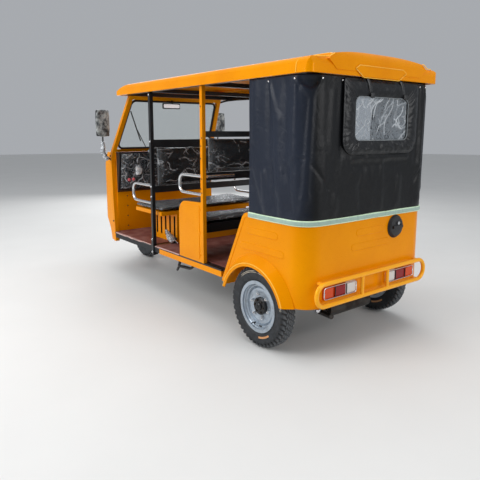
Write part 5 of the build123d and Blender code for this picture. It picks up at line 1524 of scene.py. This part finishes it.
def controls():
    """What the driver's feet and hands meet: two pedals on their arms, and grips, levers and pods."""
    pad_rings = [(-5, 0.7), (-4, 1.0), (4, 1.0), (6, 0.9)]
    for number, y in enumerate((-150, 170)):
        middle = (2080, y, 505)
        pad = plump(f"pedal_pad_{number}", middle, (0, 1, 0), (0.5, 0, 0.87), (38, 26), pad_rings, 0.4)
        dress(pad, "black_plastic")
        path = ((2086, y, 498), (2120, y, 470), (2170, y, 440), (2214, y, 424))
        dress(bar(f"pedal_arm_{number}", path, 8, 26), "chassis_black")
    lean = math.radians(STEM_LEAN)
    centre_x = STEM_FOOT - STEM_LENGTH * math.sin(lean)
    height = FRONT_AXLE_HEIGHT + STEM_LENGTH * math.cos(lean) + 30
    for label, side in SIDES:
        bend = np.array([centre_x - 90, side * 176.0, height])
        end = np.array([centre_x - 180, side * 320.0, height - 10])
        along = (end - bend) / np.linalg.norm(end - bend)
        grip_from = bend + along * 50
        ribs = 15.5 + 1.4 * np.sin(np.linspace(0, 18 * np.pi, 90))
        grip = tube(f"{label}_grip", spot(*np.linspace(grip_from, end - along * 1, 90).T), ribs, 18)
        dress(grip, "black_plastic", None, "steering")
        pod_at = bend + along * 24
        rings = [(-22, 0.6), (-18, 0.95), (0, 1), (18, 0.95), (22, 0.6)]
        pod = plump(f"{label}_switch_pod", pod_at, along, (0, 0, 1), (24, 23), rings, 0.55)
        dress(pod, "black_plastic", None, "steering")
        ahead = np.array([0.85, side * 0.2, 0])
        path = [pod_at + ahead * 12, pod_at + ahead * 24, pod_at + ahead * 28 + along * 40]
        path.append(end - along * 25 + ahead * 26)
        lever = bar(f"{label}_brake_lever", path, (6, 6, 5, 4, 5), squash=0.6)
        dress(lever, "chrome", MADE["bright_zinc"], "steering")


# Pressed creases of the left side: the deck's edge and the roof's rear corner
DECK_EDGE = (
    (-419, 431, 1812),
    (-404, 431.5, 1816.5),
    (-352, 431.5, 1817.5),
    (1500, 431.5, 1817.5),
    (1660, 431.5, 1817),
)
ROOF_CORNER = (
    (-318, 623.4, 1706),
    (-318, 617.6, 1758),
    (-326, 601.5, 1784),
    (-360, 583, 1788),
    (-402, 556, 1790),
    (-425, 520, 1791),
    (-427, 472, 1793),
    (-430, 434, 1813),
    (-420, 428, 1817),
)
# The roof's rear pad as (left, up) from its foot
PAD_FOOT = 1706.0
REAR_PAD = ((-175, -9), (-250, 40), (-215, 62), (215, 62), (250, 40), (175, -9), (-175, -9))
# The wheel arch's lip: its middle, out and up, and its radius
ARCH = (35, 654.5, 240)
ARCH_R = 311


def body_lines():
    """Pressed creases as thin rounded ridges in a paler enamel that is a painted highlight: deck edges, rear
    corners, the rear pad and the arches' lips.
    """
    turn = np.radians(np.linspace(18.5, 161.5, 120))
    lip = spot(ARCH[0] + ARCH_R * np.cos(turn), ARCH[1], ARCH[2] + ARCH_R * np.sin(turn))
    pad = eased([(-427.6, -0.985 * y, PAD_FOOT + 0.96 * z) for y, z in REAR_PAD], 260, 0)[:-1]
    lines = [tube("roof_pad_crease", spot(*pad.T), 2.6, 8, closed=True)]
    for label, side in SIDES:
        lines.append(bar(f"{label}_deck_crease", mirrored(DECK_EDGE, side), 3.2, 160, 1, sides=8))
        lines.append(bar(f"{label}_corner_crease", mirrored(ROOF_CORNER, side), 3.0, 90, 1, sides=8))
        lines.append(tube(f"{label}_arch_lip", mirrored(lip, side), 3.4, 8))
    for line in lines:
        dress(line, "yellow_paint", HIGHLIGHT_ENAMEL)


LOCK = ((11, -2), (11, 1.2), (10, 2.4), (7.5, 2.6), (7.5, 1.4), (2.5, 1.2))


def cap_lock():
    """The filler cap's silver lock barrel with its slot, and the ring that it is held by."""
    fasten("cap_lock", LOCK, 24, spot(-429.2, -243.0, 783.0), (-1, 0, 0), "chrome", MADE["bright_zinc"])
    turn = np.linspace(0, 2 * np.pi, 72, endpoint=False)
    ring = spot(-398.0, -245 + 74 * np.cos(turn), 757 + 74 * np.sin(turn))
    dress(tube("cap_flange", ring, 4.0, 8, closed=True), "black_plastic")


def lamp_trim():
    """Each tail lamp's ridges between its lenses and its two screws, and a bright rim round each headlamp."""
    turn = np.linspace(0, 2 * np.pi, 90, endpoint=False)
    corner = np.linspace(0, 4, 140, endpoint=False)
    for label, side in SIDES:
        for number, y in enumerate((355.5, 251.5)):
            path = ((-417.6, y, 392), (-418.4, y, 400), (-418.4, y, 448), (-417.6, y, 456))
            ridge_bar = bar(f"{label}_lamp_ridge_{number}", mirrored(path, side), 3.0, 16, 1)
            dress(ridge_bar, "black_plastic")
        low, high = sorted((452.0 * side, 158.0 * side))
        y, z = rounded(corner, (low, high, 387.5, 460.5), 16, 16)
        ring = tube(f"{label}_lamp_frame", spot(-416.5, y, z), 3.4, 8, closed=True)
        dress(ring, "chrome", MADE["bright_zinc"])
        screws = spot(-415.6, np.multiply(side, (449.5, 160)), 424.0)
        fasten(f"{label}_lamp_screws", RIVET, 10, screws, (-1, 0, 0), "chrome")
        rim = spot(2589.0, 200 * side + 71 * np.cos(turn), 725 + 71 * np.sin(turn))
        dress(tube(f"{label}_headlamp_rim", rim, 5.5, 10, closed=True), "chrome")


# Single bars: name, path, radius, slot, finish, and how the bar is made
SINGLE_BARS = (
    # The bent black brace under the roof's right front corner
    (
        "roof_brace",
        ((2050, -520, 1668), (1900, -548, 1694), (1760, -562, 1698), (1560, -566, 1696)),
        9,
        "black_paint",
        None,
        {"passes": 5},
    ),
    # The folded side stand under the sill
    (
        "stand_bracket",
        ((1192, 462, 352), (1186, 476, 300), (1186, 486, 262), (1196, 496, 232)),
        (12, 15, 16, 12),
        "chassis_black",
        None,
        {"passes": 2, "squash": 0.7},
    ),
    (
        "stand_arm",
        ((1188, 482, 268), (1120, 484, 276), (1010, 482, 284), (960, 474, 318), (952, 468, 352)),
        (13, 17, 15, 12),
        "chassis_black",
        None,
        {"count": 50, "passes": 2, "squash": 0.7},
    ),
    # The exhaust's end beside the bumper
    (
        "tail_pipe",
        ((-352, 302, 330), (-354, 380, 318), (-360, 430, 315), (-370, 456, 315)),
        11,
        "exhaust_steel",
        None,
        {"count": 50, "passes": 5},
    ),
    (
        "tail_pipe_tip",
        ((-362, 436, 315), (-377, 464, 315)),
        (13, 13.5, 13.5, 13),
        "chrome",
        MADE["bright_zinc"],
        {"count": 14, "passes": 1, "sides": 20},
    ),
)


def single_bars():
    """The roof's brace, the side stand, the exhaust's end and the U bolts that clamp the springs."""
    for name, path, radius, slot, finish, made in SINGLE_BARS:
        dress(bar(name, path, radius, **made), slot, finish)
    for label, side in SIDES:
        for number, x in enumerate((-42, 42)):
            shape = ((-34, 208), (-34, 268), (-26, 303), (26, 303), (34, 268), (34, 208))
            bolt = [(x, 300 * side + y, z) for y, z in shape]
            dress(bar(f"{label}_spring_bolt_{number}", bolt, 5, 60, 2), "chrome", MADE["brassy_zinc"])


# What is made, in order

place_camera()
light_studio()
lay_floor()

cloth = curtain()
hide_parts("rear_curtain")
border = window_border()
piping = window_piping()
pane = window_pane()
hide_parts("curtain_window")
tape = hem()
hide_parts("curtain_hem")
stud_row = studs()
straps = [strap("strap_left", 115, 78), strap("strap_right", -214, -258)]
buckles = [buckle("buckle_left", 74, 1600), buckle("buckle_right", -262, 1600)]

for wheel, label, x, y, side in WHEELS:
    body = f"{wheel}_wheel_body"
    tyre(f"{wheel}_tread_tyre", f"{wheel}_tyre", body, x, y)
    wheel_trim(f"{label}_wheel", body, x, y, side)

for number, (node, (piece, low, high)) in enumerate(swollen_pads().items()):
    seat(node, piece, low, high, 60 + 7 * number)
floor_mats()
fixings()
gasket()
mirror_faces()
mirror_wraps()
dash_fittings()
hand_lever()
controls()
body_lines()
cap_lock()
lamp_trim()
single_bars()
